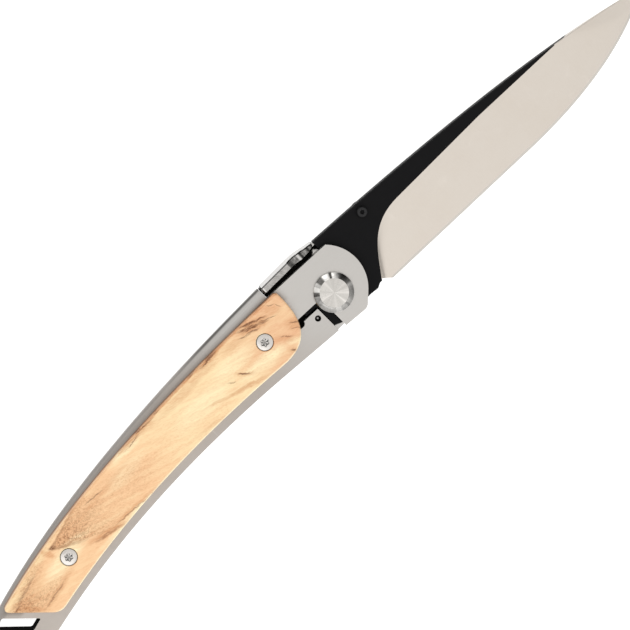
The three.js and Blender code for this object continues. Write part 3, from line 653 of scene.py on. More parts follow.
woodLook = {
    "pale": (0.83, 0.67, 0.4, 1),
    "paler": (0.86, 0.76, 0.49, 1),
    "tan": (0.8, 0.52, 0.295, 1),
    "pink": (0.71, 0.41, 0.235, 1),
    "rust": (0.5, 0.21, 0.08, 1),
    "brown": (0.3, 0.14, 0.06, 1),
    "speck": (0.2, 0.085, 0.03, 1),
    "dark": (0.13, 0.045, 0.014, 1),
    # a painted highlight along the belly side's edge
    "paintedBellyHighlight": (0.95, 0.86, 0.6, 1),
    "turn": 17,  # how far the grain falls towards the blade, in degrees
    "sway": 1.3,  # how far the figure wanders, in millimetres
    # where the nose turns pink and the butt tan, and the paler strip that is left along the butt's spine
    "noseRun": (-30.0, -17.0),
    "buttRun": (-42.0, -62.0),
    "stripSlope": 0.3,
    "stripEdge": (29.4, 30.6),
    "stripRun": (-62.0, -72.0),
    # painted shade on the faces turned to the spine, stronger towards the butt
    "topRun": (-62.0, -52.0),
    # painted shadow low on the wood's spine-side wall, where it meets the fold, in Z
    "paintedShadowFootRun": (2.0, 0.0),
    # the long V of figure: its point, how its two sides open out, and how far they run
    "vee": {
        "point": (-83.9, 4.5), "upper": (0.27, 3.1), "lower": (-0.55, -6.6), "line": 0.5,
        "upperRun": (4.0, 15.0), "lowerRun": (2.0, 10.0), "insideRun": (3.0, 26.0), "deepRun": (2.0, 16.0),
    },
    # x, y, turn in degrees, half length, half width, strength
    "streaks": [
        (-18.2, 9.0, -20, 2.8, 0.36, 1.0),
        (-19.3, 8.5, -22, 3.2, 0.4, 1.0),
        (-16.6, 8.2, -18, 3.4, 0.32, 1.0),
        (-18.4, 7.7, -20, 3.2, 0.36, 1.0),
        (-16.4, 7.1, -20, 3.0, 0.3, 0.9),
        (-18.6, 7.0, -20, 2.2, 0.26, 0.9),
        (-20.6, 7.5, -22, 2.0, 0.24, 0.8),
        (-14.4, 6.7, -22, 2.8, 0.2, 0.85),
        (-11.8, 8.4, -35, 1.1, 0.18, 0.85),
        (-10.8, 7.0, -70, 1.0, 0.18, 0.7),
        (-10.6, 1.7, -40, 1.8, 0.28, 0.75),
        (-11.2, 0.6, -35, 1.8, 0.2, 0.6),
        (-14.2, 1.1, -42, 2.4, 0.26, 0.6),
        (-15.1, -2.3, -40, 0.8, 0.36, 0.95),
        (-26.4, 1.7, -38, 1.9, 0.28, 1.0),
        (-29.9, 2.2, -35, 1.4, 0.2, 0.55),
        (-29.9, 9.6, 4, 3.6, 0.36, 0.9),
        (-34.0, 9.9, 4, 3.0, 0.25, 0.7),
        (-83.2, 4.45, -12, 1.3, 0.5, 1.0),
        (-72.4, -2.1, -13, 4.8, 0.6, 0.5),
        (-65.5, -2.25, -4, 6.5, 0.25, 0.6),
        (-51.0, 9.2, -2, 4.5, 0.22, 0.85),
        (-54.5, 8.5, 6, 3.5, 0.2, 0.75),
        (-47.0, 9.6, -8, 2.5, 0.2, 0.6),
        (-94.0, 1.9, 17, 5.2, 0.4, 0.55),
        (-69.0, 5.95, -4, 3.4, 0.24, 0.75),
        (-90.0, -3.3, 12, 5.5, 0.28, 0.6),
        (-98.5, 0.2, 17, 3.0, 0.3, 0.7),
    ],
    # soft reddish patches of the same shape
    "blushes": [
        (-17.6, 7.9, -18, 5.4, 1.9, 1.0),
        (-12.4, 7.4, -40, 3.2, 1.6, 0.5),
        (-10.6, 1.4, -38, 3.4, 2.0, 0.8),
        (-14.6, 0.8, -40, 4.0, 1.1, 0.6),
        (-15.2, -2.3, -40, 1.8, 1.0, 0.6),
        (-26.4, 1.6, -38, 3.2, 0.7, 0.65),
        (-28.4, -0.7, -16, 8.0, 0.75, 0.9),
        (-34.5, 1.2, -18, 5.0, 0.6, 0.5),
        (-40.0, -1.4, -10, 6.0, 0.6, 0.4),
        (-29.6, 9.5, 4, 6.5, 1.1, 1.0),
        (-42.0, 9.9, 0, 9.0, 0.8, 0.9),
        (-52.5, 8.9, 2, 7.5, 0.9, 0.85),
        (-66.0, 5.5, 6, 12.0, 0.9, 0.45),
        (-72.5, -1.8, -14, 7.0, 1.1, 1.0),
        (-64.0, -2.1, -3, 10.0, 0.7, 0.8),
        (-85.0, 4.2, -60, 2.2, 1.0, 0.9),
        (-89.0, -3.2, 12, 8.0, 1.0, 0.6),
        (-96.4, -1.7, -45, 5.5, 1.0, 1.0),
        (-38.0, 8.3, 2, 13.0, 1.5, 0.55),
        (-31.5, 8.4, 0, 4.5, 1.3, 0.5),
        (-49.5, 8.7, 0, 4.0, 1.3, 0.45),
        (-24.0, 8.0, -10, 5.0, 1.3, 0.5),
        (-93.5, 1.0, 17, 8.0, 2.8, 0.4),
        (-98.6, 0.0, 17, 5.0, 2.6, 0.6),
    ],
    # and pale ones
    "pales": [
        (-21.5, 0.3, -6, 9.0, 2.2, 1.0),
        (-13.6, -0.9, -30, 3.0, 1.2, 0.8),
        (-27.0, 4.9, 0, 8.5, 3.0, 0.7),
        (-37.0, 3.2, 0, 12.0, 3.4, 0.7),
        (-56.5, 8.5, 3, 6.5, 1.5, 1.0),
        (-60.0, 5.0, 4, 8.0, 2.6, 0.45),
        (-82.5, 0.9, 10, 9.0, 3.0, 1.0),
        (-70.0, -3.4, 0, 9.0, 0.8, 0.8),
        (-60.0, -2.9, 0, 12.0, 1.0, 0.9),
    ],
    # where the stipple is thick
    "stipples": [
        (-97.2, -0.8, 10, 5.5, 3.6, 0.65),
        (-92.0, -1.8, 14, 6.0, 1.6, 0.5),
        (-93.0, 3.0, 17, 6.0, 0.9, 0.45),
        (-72.0, 4.2, 0, 6.0, 2.0, 0.25),
    ],
    # broad stippled grounds
    "grounds": [
        (-62.0, 2.4, -4, 12.0, 4.5, 0.45),
        (-17.6, 7.9, -18, 4.6, 1.5, 0.8),
        (-96.8, -1.6, 12, 7.5, 4.0, 1.0),
        (-92.0, 2.4, 17, 8.0, 1.5, 0.8),
        (-90.5, -2.8, 12, 8.0, 1.6, 0.7),
    ],
}


def figure(tree, place, rows):
    # The strongest of many soft spots
    total = None
    for x, y, lean, length, width, strength in rows:
        spot = useGroup(
            tree, figureStreak, Place=place, Centre=(x, y, 0.0), Turn=math.radians(lean),
            Size=(length, width, 1.0), Strength=strength,
        )["Mask"]
        total = spot if total is None else number(tree, "MAXIMUM", total, spot)
    return total


def longVee(tree, place, v):
    # Inside the V, along its two sides, and deep in its point
    spot = addNode(tree, "SeparateXYZ", {0: place}).outputs
    past = number(tree, "SUBTRACT", spot["X"], v["point"][0])
    high = number(tree, "SUBTRACT", spot["Y"], v["point"][1])
    upper = number(tree, "MINIMUM", times(tree, past, v["upper"][0]), v["upper"][1])
    lower = number(tree, "MAXIMUM", times(tree, past, v["lower"][0]), v["lower"][1])
    under = number(tree, "SUBTRACT", upper, high)
    over = number(tree, "SUBTRACT", high, lower)

    def fading(run):
        return ranged(tree, past, *run, to=(1.0, 0.0))

    def side(apart, width, run):
        line = ranged(tree, number(tree, "ABSOLUTE", apart), 0.0, width, to=(1.0, 0.0))
        return times(tree, line, fading(run))

    inside = times(tree, ranged(tree, under, 0.0, 0.5), ranged(tree, over, 0.0, 0.5), fading(v["insideRun"]))
    lines = number(tree, "MAXIMUM", side(under, v["line"], v["upperRun"]), side(over, v["line"] * 1.5, v["lowerRun"]))
    return inside, times(tree, lines, ranged(tree, past, -0.6, 0.2)), times(tree, inside, fading(v["deepRun"]))


def woodMaterial(look):
    material, tree, shader, place = startMaterial("paleWood")
    wander = addNode(tree, "TexNoise", {"Vector": place, "Scale": 0.4, "Detail": 5.0, "Roughness": 0.65})
    centred = addNode(tree, "VectorMath", {0: wander.outputs["Color"], 1: (0.5, 0.5, 0.5)}, operation="SUBTRACT")
    sway = (look["sway"], look["sway"], 0.0)
    bent = addNode(
        tree, "VectorMath", {0: centred.outputs[0], 1: sway, 2: place}, operation="MULTIPLY_ADD",
    ).outputs[0]
    turn = math.radians(look["turn"])
    broad = useGroup(tree, fineLines, Place=bent, Turn=turn, Along=0.06, Across=0.3)
    bands = useGroup(tree, fineLines, Place=bent, Turn=turn, Along=0.12, Across=1.1)
    fibres = useGroup(tree, fineLines, Place=bent, Turn=turn, Along=0.7, Across=7.0)
    hatch = useGroup(tree, fineLines, Place=bent, Turn=turn + 0.25, Along=1.6, Across=5.0)
    dashes = ranged(tree, hatch["Height"], 0.5, 0.62)
    specks = addNode(tree, "TexNoise", {"Vector": bent, "Scale": 2.9, "Detail": 3.0, "Roughness": 0.75}).outputs["Fac"]
    specks = ranged(tree, specks, 0.48, 0.57)
    mottled = ranged(tree, bands["Height"], 0.3, 0.62, to=(0.35, 1.0))
    patchy = ranged(tree, bands["Height"], 0.35, 0.6, to=(0.35, 1.0))

    # Where on the scale, and which way its face looks
    spot = addNode(tree, "SeparateXYZ", {0: place}).outputs
    facing = addNode(tree, "SeparateXYZ", {0: addNode(tree, "TexCoord").outputs["Normal"]}).outputs
    sloped = number(tree, "SUBTRACT", spot["Y"], times(tree, spot["X"], look["stripSlope"]))
    strip = times(tree, ranged(tree, sloped, *look["stripEdge"]), ranged(tree, spot["X"], *look["stripRun"]), 0.8)
    butt = times(tree, ranged(tree, spot["X"], *look["buttRun"]), number(tree, "SUBTRACT", 1.0, strip))
    nose = ranged(tree, spot["X"], *look["noseRun"])
    # painted highlight on the faces turned to the belly
    bellySide = times(tree, ranged(tree, facing["Y"], -0.15, -0.75), ranged(tree, facing["X"], -0.5, -0.2))
    # painted shade in rust on the faces turned to the spine, broken up
    spineSideShade = times(
        tree, ranged(tree, facing["Y"], 0.1, 0.8), ranged(tree, spot["X"], *look["topRun"], to=(0.35, 0.75)),
    )
    # painted shadow low on the wood's spine-side wall, where it meets the fold
    foot = times(tree, ranged(tree, spot["Z"], *look["paintedShadowFootRun"], smooth=False), ranged(tree, facing["Y"], 0.5, 0.9))

    inside, sides, deep = longVee(tree, bent, look["vee"])
    grounds = number(tree, "MAXIMUM", figure(tree, bent, look["grounds"]), inside)
    deep = number(tree, "MAXIMUM", deep, figure(tree, bent, look["stipples"]))
    warm = number(tree, "ADD", times(tree, butt, 0.66), times(tree, bands["Lines"], 0.3))
    warm = number(tree, "ADD", warm, times(tree, broad["Lines"], 0.3), clamp=True)
    colour = tinted(tree, warm, look["pale"], look["tan"])
    layers = [
        ("pink", nose, ranged(tree, broad["Height"], 0.3, 0.7, to=(0.5, 1.0))),
        ("paler", figure(tree, bent, look["pales"]), ranged(tree, bands["Height"], 0.3, 0.6, to=(1.0, 0.6))),
        ("paintedBellyHighlight", bellySide, 0.75),
        ("rust", figure(tree, bent, look["blushes"]), ranged(tree, fibres["Height"], 0.3, 0.65, to=(0.4, 1.0)), 0.7),
        ("rust", spineSideShade, patchy),
        ("dark", foot, 0.95),
        ("rust", grounds, mottled, 0.2),
        ("brown", grounds, dashes, mottled, 0.6),
        ("brown", grounds, specks, mottled, 0.33),
        ("rust", deep, 0.25),
        ("speck", deep, specks, 0.68),
        ("brown", sides, ranged(tree, fibres["Height"], 0.3, 0.6, to=(0.45, 1.0)), 0.9),
        ("rust", dashes, ranged(tree, broad["Height"], 0.35, 0.65, to=(0.06, 0.22))),
        ("rust", fibres["Lines"], ranged(tree, bands["Height"], 0.35, 0.65, to=(0.05, 0.2))),
        ("dark", figure(tree, bent, look["streaks"]), ranged(tree, fibres["Height"], 0.36, 0.52, to=(0.15, 1.0)), 0.9),
    ]
    for name, *masks in layers:
        colour = tinted(tree, times(tree, *masks), colour, look[name])
    tree.links.new(colour, shader["Base Color"])
    tree.links.new(ranged(tree, fibres["Lines"], 0, 1, to=(0.42, 0.56)), shader["Roughness"])
    height = number(tree, "SUBTRACT", fibres["Height"], times(tree, dashes, 0.4))
    tree.links.new(bumped(tree, height, 0.25), shader["Normal"])
    shader["Specular IOR Level"].default_value = 0.3
    return material


paleWood = woodMaterial(woodLook)
print("materials ready:", ", ".join([*metals, "paleWood"]))

# Outlines that several pieces share

handleLines = {
    "notch": at(-11.35, 12.25),
    "spineBow": at(-74.0, 12.3),
    "buttCorner": at(-107.8, 0.5),
    "buttSlant": math.radians(-45),
    "buttWidth": 15.3,
    "bellyBow": at(-61.9, -2.04),
    "bellyStraightEnd": at(-20.0, -5.73),
    "bellyCorner": at(3.0, -7.76),
}
foldRadius = 2.7
pivotBore = 2.58
spineRun = bow(handleLines["notch"], handleLines["spineBow"], handleLines["buttCorner"])
buttAlong = at(math.cos(handleLines["buttSlant"]), math.sin(handleLines["buttSlant"]))
bellyEnd = handleLines["buttCorner"] + buttAlong * handleLines["buttWidth"]
bellyRun = bow(bellyEnd, handleLines["bellyBow"], handleLines["bellyStraightEnd"])


# Handle plate with its folded spine

handleShape = {
    "edge": 0.12,
    "steps": 2,
    # painted shade, near black: the walls of the lanyard slot and of the cut that frees the lock bar, where they are
    # clear of the spine, the butt's inside, and the end of the fold by the notch
    "slot": {"centre": at(-100.22, -3.21), "left": -6.0, "right": 4.6, "half": 1.5},
    "cut": (at(-41.0, -1.4), at(-3.4, 1.5)),
    "clear": 0.8,
    "insideFrom": -93.0,
    "foldEnd": {"reach": 0.4, "plateTurn": 0.7, "foldTurn": 0.3},
}


def refined(node, width, steps):
    # The frame's own shape, welded, with its flat faces joined up and its sharp edges eased
    bm = bmesh.new()
    bm.from_mesh(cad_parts[node].data)
    bm.transform(toFrame.inverted())
    bmesh.ops.remove_doubles(bm, verts=bm.verts[:], dist=0.0005)
    bmesh.ops.dissolve_limit(bm, angle_limit=math.radians(0.5), verts=bm.verts[:], edges=bm.edges[:])
    return soften(bm, width, steps)


def makeHandle(s):
    bm = refined("handle_frame", s["edge"], s["steps"])
    inner = levels["plateBack"] - 0.1
    lowFaces = [f for f in bm.faces if f.normal.z > 0.9 and f.calc_center_median().z < inner]
    around = {part for f in lowFaces for part in (*f.verts, *f.edges)}
    bmesh.ops.bisect_plane(bm, geom=[*lowFaces, *around], plane_co=(s["insideFrom"], 0, 0), plane_no=(1, 0, 0))
    slot, foldEnd = s["slot"], s["foldEnd"]
    low, high = s["cut"]
    for f in bm.faces:
        middle = f.calc_center_median()
        offset = middle.xy - slot["centre"]
        inSlot = slot["left"] < offset.dot(buttAlong) < slot["right"] and abs(offset.cross(buttAlong)) < slot["half"]
        inCut = low.x < middle.x < high.x and low.y < middle.y < high.y
        wall = (inSlot or inCut) and abs(f.normal.z) < 0.5 and nearest(middle.xy, spineRun) > s["clear"]
        inside = middle.x < s["insideFrom"] and f.normal.z > 0.9 and middle.z < inner
        facing = foldEnd["plateTurn"] if middle.z > levels["plateBack"] else foldEnd["foldTurn"]
        end = f.normal.x > facing and abs(middle.x - handleLines["notch"].x) < foldEnd["reach"]
        # material 1 is near-black painted shade
        f.material_index = 1 if wall or inside or end else 0
    addPiece("HandlePlate", bm, [metals["satinSteel"], metals["paintedShadeSteel"]], ["handle_frame"])


makeHandle(handleShape)
print("handle plate done")

# Lock bar, bent in behind the tang, and its detent ball

lockShape = {
    "root": -40.35,
    "face": -5.05,
    "top": -0.25,
    "reliefTop": -0.08,
    "waist": -0.8,
    "relief": at(-10.12, 0.12),
    "reliefRadius": 1.0,
    "setIn": 1.0,
    "bendEnd": -36.0,
    "bendRows": 7,
    "firstRow": 0.4,
    "ball": at(-6.51, -1.85),
    "ballRadius": 0.5,
    "ballHole": 0.7,
    "ballStandsOut": 0.35,
    "edge": 0.1,
}


def makeLockBar(s):
    straight = [handleLines["bellyStraightEnd"], handleLines["bellyCorner"]]
    run = [*bellyRun, straight[1]]
    rootAt = next(i for i, p in enumerate(run) if p.x > s["root"])
    rootFoot = crossing(run[rootAt - 1], run[rootAt], at(s["root"], 0), at(0, 1))
    faceFoot = crossing(*straight, at(s["face"], 0), at(0, 1))
    ends = [math.degrees(math.asin((y - s["relief"].y) / s["reliefRadius"])) for y in (s["reliefTop"], s["waist"])]
    notch = arc(s["relief"], s["reliefRadius"], ends[0], -180 - ends[1], 16)
    tip = at(s["face"], s["top"])
    belly = [rootFoot, *[p for p in bellyRun if p.x > s["root"] + 0.3], faceFoot]
    outline = joinRounded(joinRounded(belly, [faceFoot, tip], 0.3), [tip, *notch], 0.2)
    bm = slab([*outline, at(s["root"], s["waist"])], levels["plateBack"], 0)
    hole = turned([(0, 1), (s["ballHole"], 1), (s["ballHole"], -3), (0, -3)], s["ball"], 32)
    bm = carve(bm, [hole])
    soften(bm, s["edge"], where=lambda e: any(v.co.x > s["root"] + 0.01 for v in e.verts))
    bendLength = s["bendEnd"] - s["root"]
    for i in range(s["bendRows"]):  # rows that let the root bend
        x = s["root"] + s["firstRow"] + i * bendLength / (s["bendRows"] - 1)
        geometry = bm.verts[:] + bm.edges[:] + bm.faces[:]
        bmesh.ops.bisect_plane(bm, geom=geometry, plane_co=(x, 0, 0), plane_no=(1, 0, 0))
    slope = s["setIn"] / (s["face"] - s["root"])
    for v in bm.verts:
        along = v.co.x - s["root"]
        v.co.z -= slope * (along ** 2 / (2 * bendLength) if along < bendLength else along - bendLength / 2)
    piece = addPiece("LockBar", bm, [metals["satinSteel"]], ["lock_bar"], body=None)
    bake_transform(piece)
    lean = slope * (s["ball"].x - s["root"] - bendLength / 2)
    middle = levels["plateBack"] - s["ballStandsOut"] + s["ballRadius"] - lean
    rows = [(s["ballRadius"] * math.sin(a), middle + s["ballRadius"] * math.cos(a))
            for a in [math.pi * i / 16 for i in range(1, 16)]]
    rows = [(0, middle + s["ballRadius"]), *rows, (0, middle - s["ballRadius"])]
    addPiece("DetentBall", turned(rows, s["ball"], 32), [metals["paintedShadeBallSteel"]],
             ["detent_ball"], body="lock_bar")


makeLockBar(lockShape)
print("lock bar done")

# Wood scale

scaleShape = {
    "thickness": 2.6,
    "spineMargin": (2.75, 0.6),
    "bellyMargin": (2.5, 1.85),
    "buttMargin": 5.75,
    "noseTop": at(-9.0, 8.0),
    "noseBows": (at(-9.0, 2.5), at(-10.15, -3.5)),
    "noseBelly": at(-18.0, -3.35),
    "rounding": 1.2,
    "buttRounding": 1.9,
    "tailCut": 1.75,
    "edge": 0.6,
    "edgeSteps": 6,
    "screws": (at(-18.46, 3.38), at(-82.16, 0.43)),
    "seat": 1.5,
    "counterbore": 1.97,
    "rim": 0.12,
}


def makeScale(s):
    head, butt = s["spineMargin"]
    spine = sideways(spineRun, lambda t: mixed(butt, head, (1 - t) ** 2))
    nose = bend(s["noseTop"], *s["noseBows"], s["noseBelly"], 16)[::-1]
    belly = sideways(bellyRun, lambda t: mixed(s["bellyMargin"][1], s["bellyMargin"][0], t))
    belly = [p for p in belly if p.x < s["noseBelly"].x - s["rounding"]]
    buttSide = handleLines["buttCorner"] + at(-buttAlong.y, buttAlong.x) * s["buttMargin"]
    inside = lambda p: (p - buttSide).cross(buttAlong) < 0
    corner = at(s["noseTop"].x, handleLines["notch"].y - head)
    spineIn = [p for p in spine if inside(p) and p.x < corner.x - s["rounding"]]
    bellyIn = [p for p in belly if inside(p)]
    spineButt = crossing(spineIn[-2], spineIn[-1], buttSide, buttAlong)
    bellyButt = crossing(bellyIn[1], bellyIn[0], buttSide, buttAlong)
    upper = joinRounded([*nose, corner], [corner, *spineIn, spineButt], s["rounding"])
    tail = joinRounded(upper, [spineButt, bellyButt], s["tailCut"], 4)
    outline = joinRounded(tail, [bellyButt, *bellyIn], s["buttRounding"], 8)
    bm = slab(outline, 0, s["thickness"])
    top = s["thickness"]
    soften(bm, s["edge"], s["edgeSteps"], where=lambda e: all(v.co.z > top - 0.01 for v in e.verts))
    seats = []
    for place in s["screws"]:
        seats.append(turned([
            (0, top + 1), (s["counterbore"] + s["rim"], top + 1), (s["counterbore"] + s["rim"], top),
            (s["counterbore"], top - s["rim"]), (s["counterbore"], s["seat"]), (0, s["seat"]),
        ], place, 64))
    bm = carve(bm, seats)
    for v in bm.verts:  # its underside follows the fold along the spine
        away = max(foldRadius - nearest(v.co.xy, spineRun), 0) if v.co.z < 0.01 else 0
        if away > 0 and v.co.x < s["noseTop"].x - 2:
            v.co.z = math.sqrt(foldRadius ** 2 - away ** 2) - foldRadius - 0.03
    addPiece("WoodScale", bm, [paleWood], ["wood_scale"])


makeScale(scaleShape)
print("wood scale done")

# Screws, pivot and pins, all turned

screwShape = {"head": 1.85, "height": 1.1, "edge": 0.14, "recess": 0.85, "swing": 0.13, "depth": 0.7, "shank": 1.0}


def screwProfile(s, top, foot):
    # From the recess's floor up to the face, over the edge and down the shank
    return [
        (0, top - s["depth"] - 0.15),
        (s["recess"] * 0.55, top - s["depth"], s["swing"] * 0.5),
        (s["recess"] * 0.94, top - s["depth"] * 0.85, s["swing"]),
        (s["recess"] * 0.98, top - 0.08, s["swing"]),
        (s["recess"] * 1.06, top, s["swing"]),
        (s["head"] - s["edge"], top),
        (s["head"] - s["edge"] * 0.3, top - s["edge"] * 0.3),
        (s["head"], top - s["edge"]),
        (s["head"], top - s["height"]),
        (s["shank"], top - s["height"]),
        (s["shank"], foot),
        (0, foot),
    ]


for i, place in enumerate(scaleShape["screws"]):
    screw = turned(screwProfile(screwShape, 2.6, levels["plateBack"]), place)
    for f in screw.faces:
        reach = (f.calc_center_median().xy - place).length
        # the recess gets the very dark steel: painted shade
        f.material_index = 1 if reach < screwShape["recess"] * 1.15 and f.normal.z < 0.95 else 0
    addPiece(f"ScaleScrew{i + 1}", screw, [metals["screwSteel"], metals["paintedDarkSteel"]],
             [f"scale_screw_{i + 1}"])

pivotShape = {"head": 4.5, "face": 3.34, "height": pivotHeadHeight, "wall": 0.55, "shaft": 2.5, "bore": 1.6}


def makePivot(s):
    centre = at(0, 0)
    top = s["height"]
    barrel = turned([
        (0, top),
        (s["face"] - 0.08, top),
        (s["face"], top - 0.05),
        (s["face"] + 0.04, top - 0.07),
        (s["head"] - 0.08, s["wall"] + 0.06),
        (s["head"], s["wall"] - 0.02),
        (s["head"], 0),
        (s["shaft"], 0),
        (s["shaft"], levels["clipBack"] + 0.1),
        (s["bore"], levels["clipBack"] + 0.1),
        (s["bore"], -0.9),
        (0, -0.9),
    ], centre, 128)
    for f in barrel.faces:
        reach = f.calc_center_median().xy.length
        f.material_index = 0 if f.normal.z > 0.9 and reach < s["face"] else 1
    addPiece("PivotHead", barrel, [metals["turnedSteel"], metals["paintedReflectionBevel"]], ["pivot_barrel"])

    rest, back = levels["rest"], levels["clipBack"]
    screw = {"head": 3.7, "recess": 1.5, "swing": 0.13, "depth": 1.0, "edge": 0.4, "shank": 1.3}
    profile = [
        (0, rest + screw["depth"] + 0.15),
        (screw["recess"] * 0.55, rest + screw["depth"], 0.06),
        (screw["recess"] * 0.95, rest + screw["depth"] * 0.9, screw["swing"]),
        (screw["recess"], rest + 0.1, screw["swing"]),
        (screw["recess"] * 1.05, rest, screw["swing"]),
        (screw["head"] - screw["edge"], rest),
        (screw["head"] - screw["edge"] * 0.3, rest + screw["edge"] * 0.3),
        (screw["head"], rest + screw["edge"]),
        (screw["head"], back),
        (screw["shank"], back),
        (screw["shank"], -1.2),
        (0, -1.2),
    ]
    addPiece("PivotScrew", turned(profile, centre, 96), [metals["screwSteel"]], ["pivot_screw"])


makePivot(pivotShape)

pinShape = {"place": at(3.3, 8.65), "radius": 0.95, "edge": 0.2}
pinTop = levels["plateBack"] - 0.1
addPiece("StopPin", turned([
    (0, pinTop), (pinShape["radius"] - pinShape["edge"], pinTop), (pinShape["radius"], pinTop - pinShape["edge"]),
    (pinShape["radius"], levels["clipBack"]), (0, levels["clipBack"]),
], pinShape["place"], 48), [metals["polishedSteel"]], ["stop_pin"])
print("screws, pivot and pins done")

for node in ("washer_front", "washer_rear"):
    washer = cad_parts[node]
    washer.data.materials.clear()
    washer.data.materials.append(metals["washerBronze"])

# Blade

bladeShape = {
    "tip": at(95.65, -0.9),
    "spineBow": at(66.5, 7.3),
    "shoulder": at(4.4, 11.0),
    "tangRadius": 8.0,
    "ledge": 0.15,
    "lockFace": -4.95,
    "tangStep": (at(-4.95, -5.7), at(-3.2, -6.47)),
    "tangHeel": at(5.6, -6.47),
    "foot": at(7.6, -6.7),
    "choilStart": at(8.8, -6.1),
    "choilBow": at(9.6, -6.3),
    "choil": at(9.6, -5.7),
    "heel": at(11.6, -7.6),
    "edgeStraightEnd": at(54.0, -8.98),
    "edgeBow": at(80.0, -9.6),
    "grind": [at(24.5, 4.7), at(16.2, 4.6), at(13.4, -0.6)],
    "grindFall": at(50.0, 4.7),
    "grindEnd": at(78.0, 3.68),
    "blackEnd": 75.6,
    "plunge": 1.3,
    "rim": 0.16,
    "edgeHalf": 0.13,
    "cuttingEdge": 0.55,
    "rows": 14,
    "stud": at(16.86, 8.0),
    "studHole": 1.0,
}


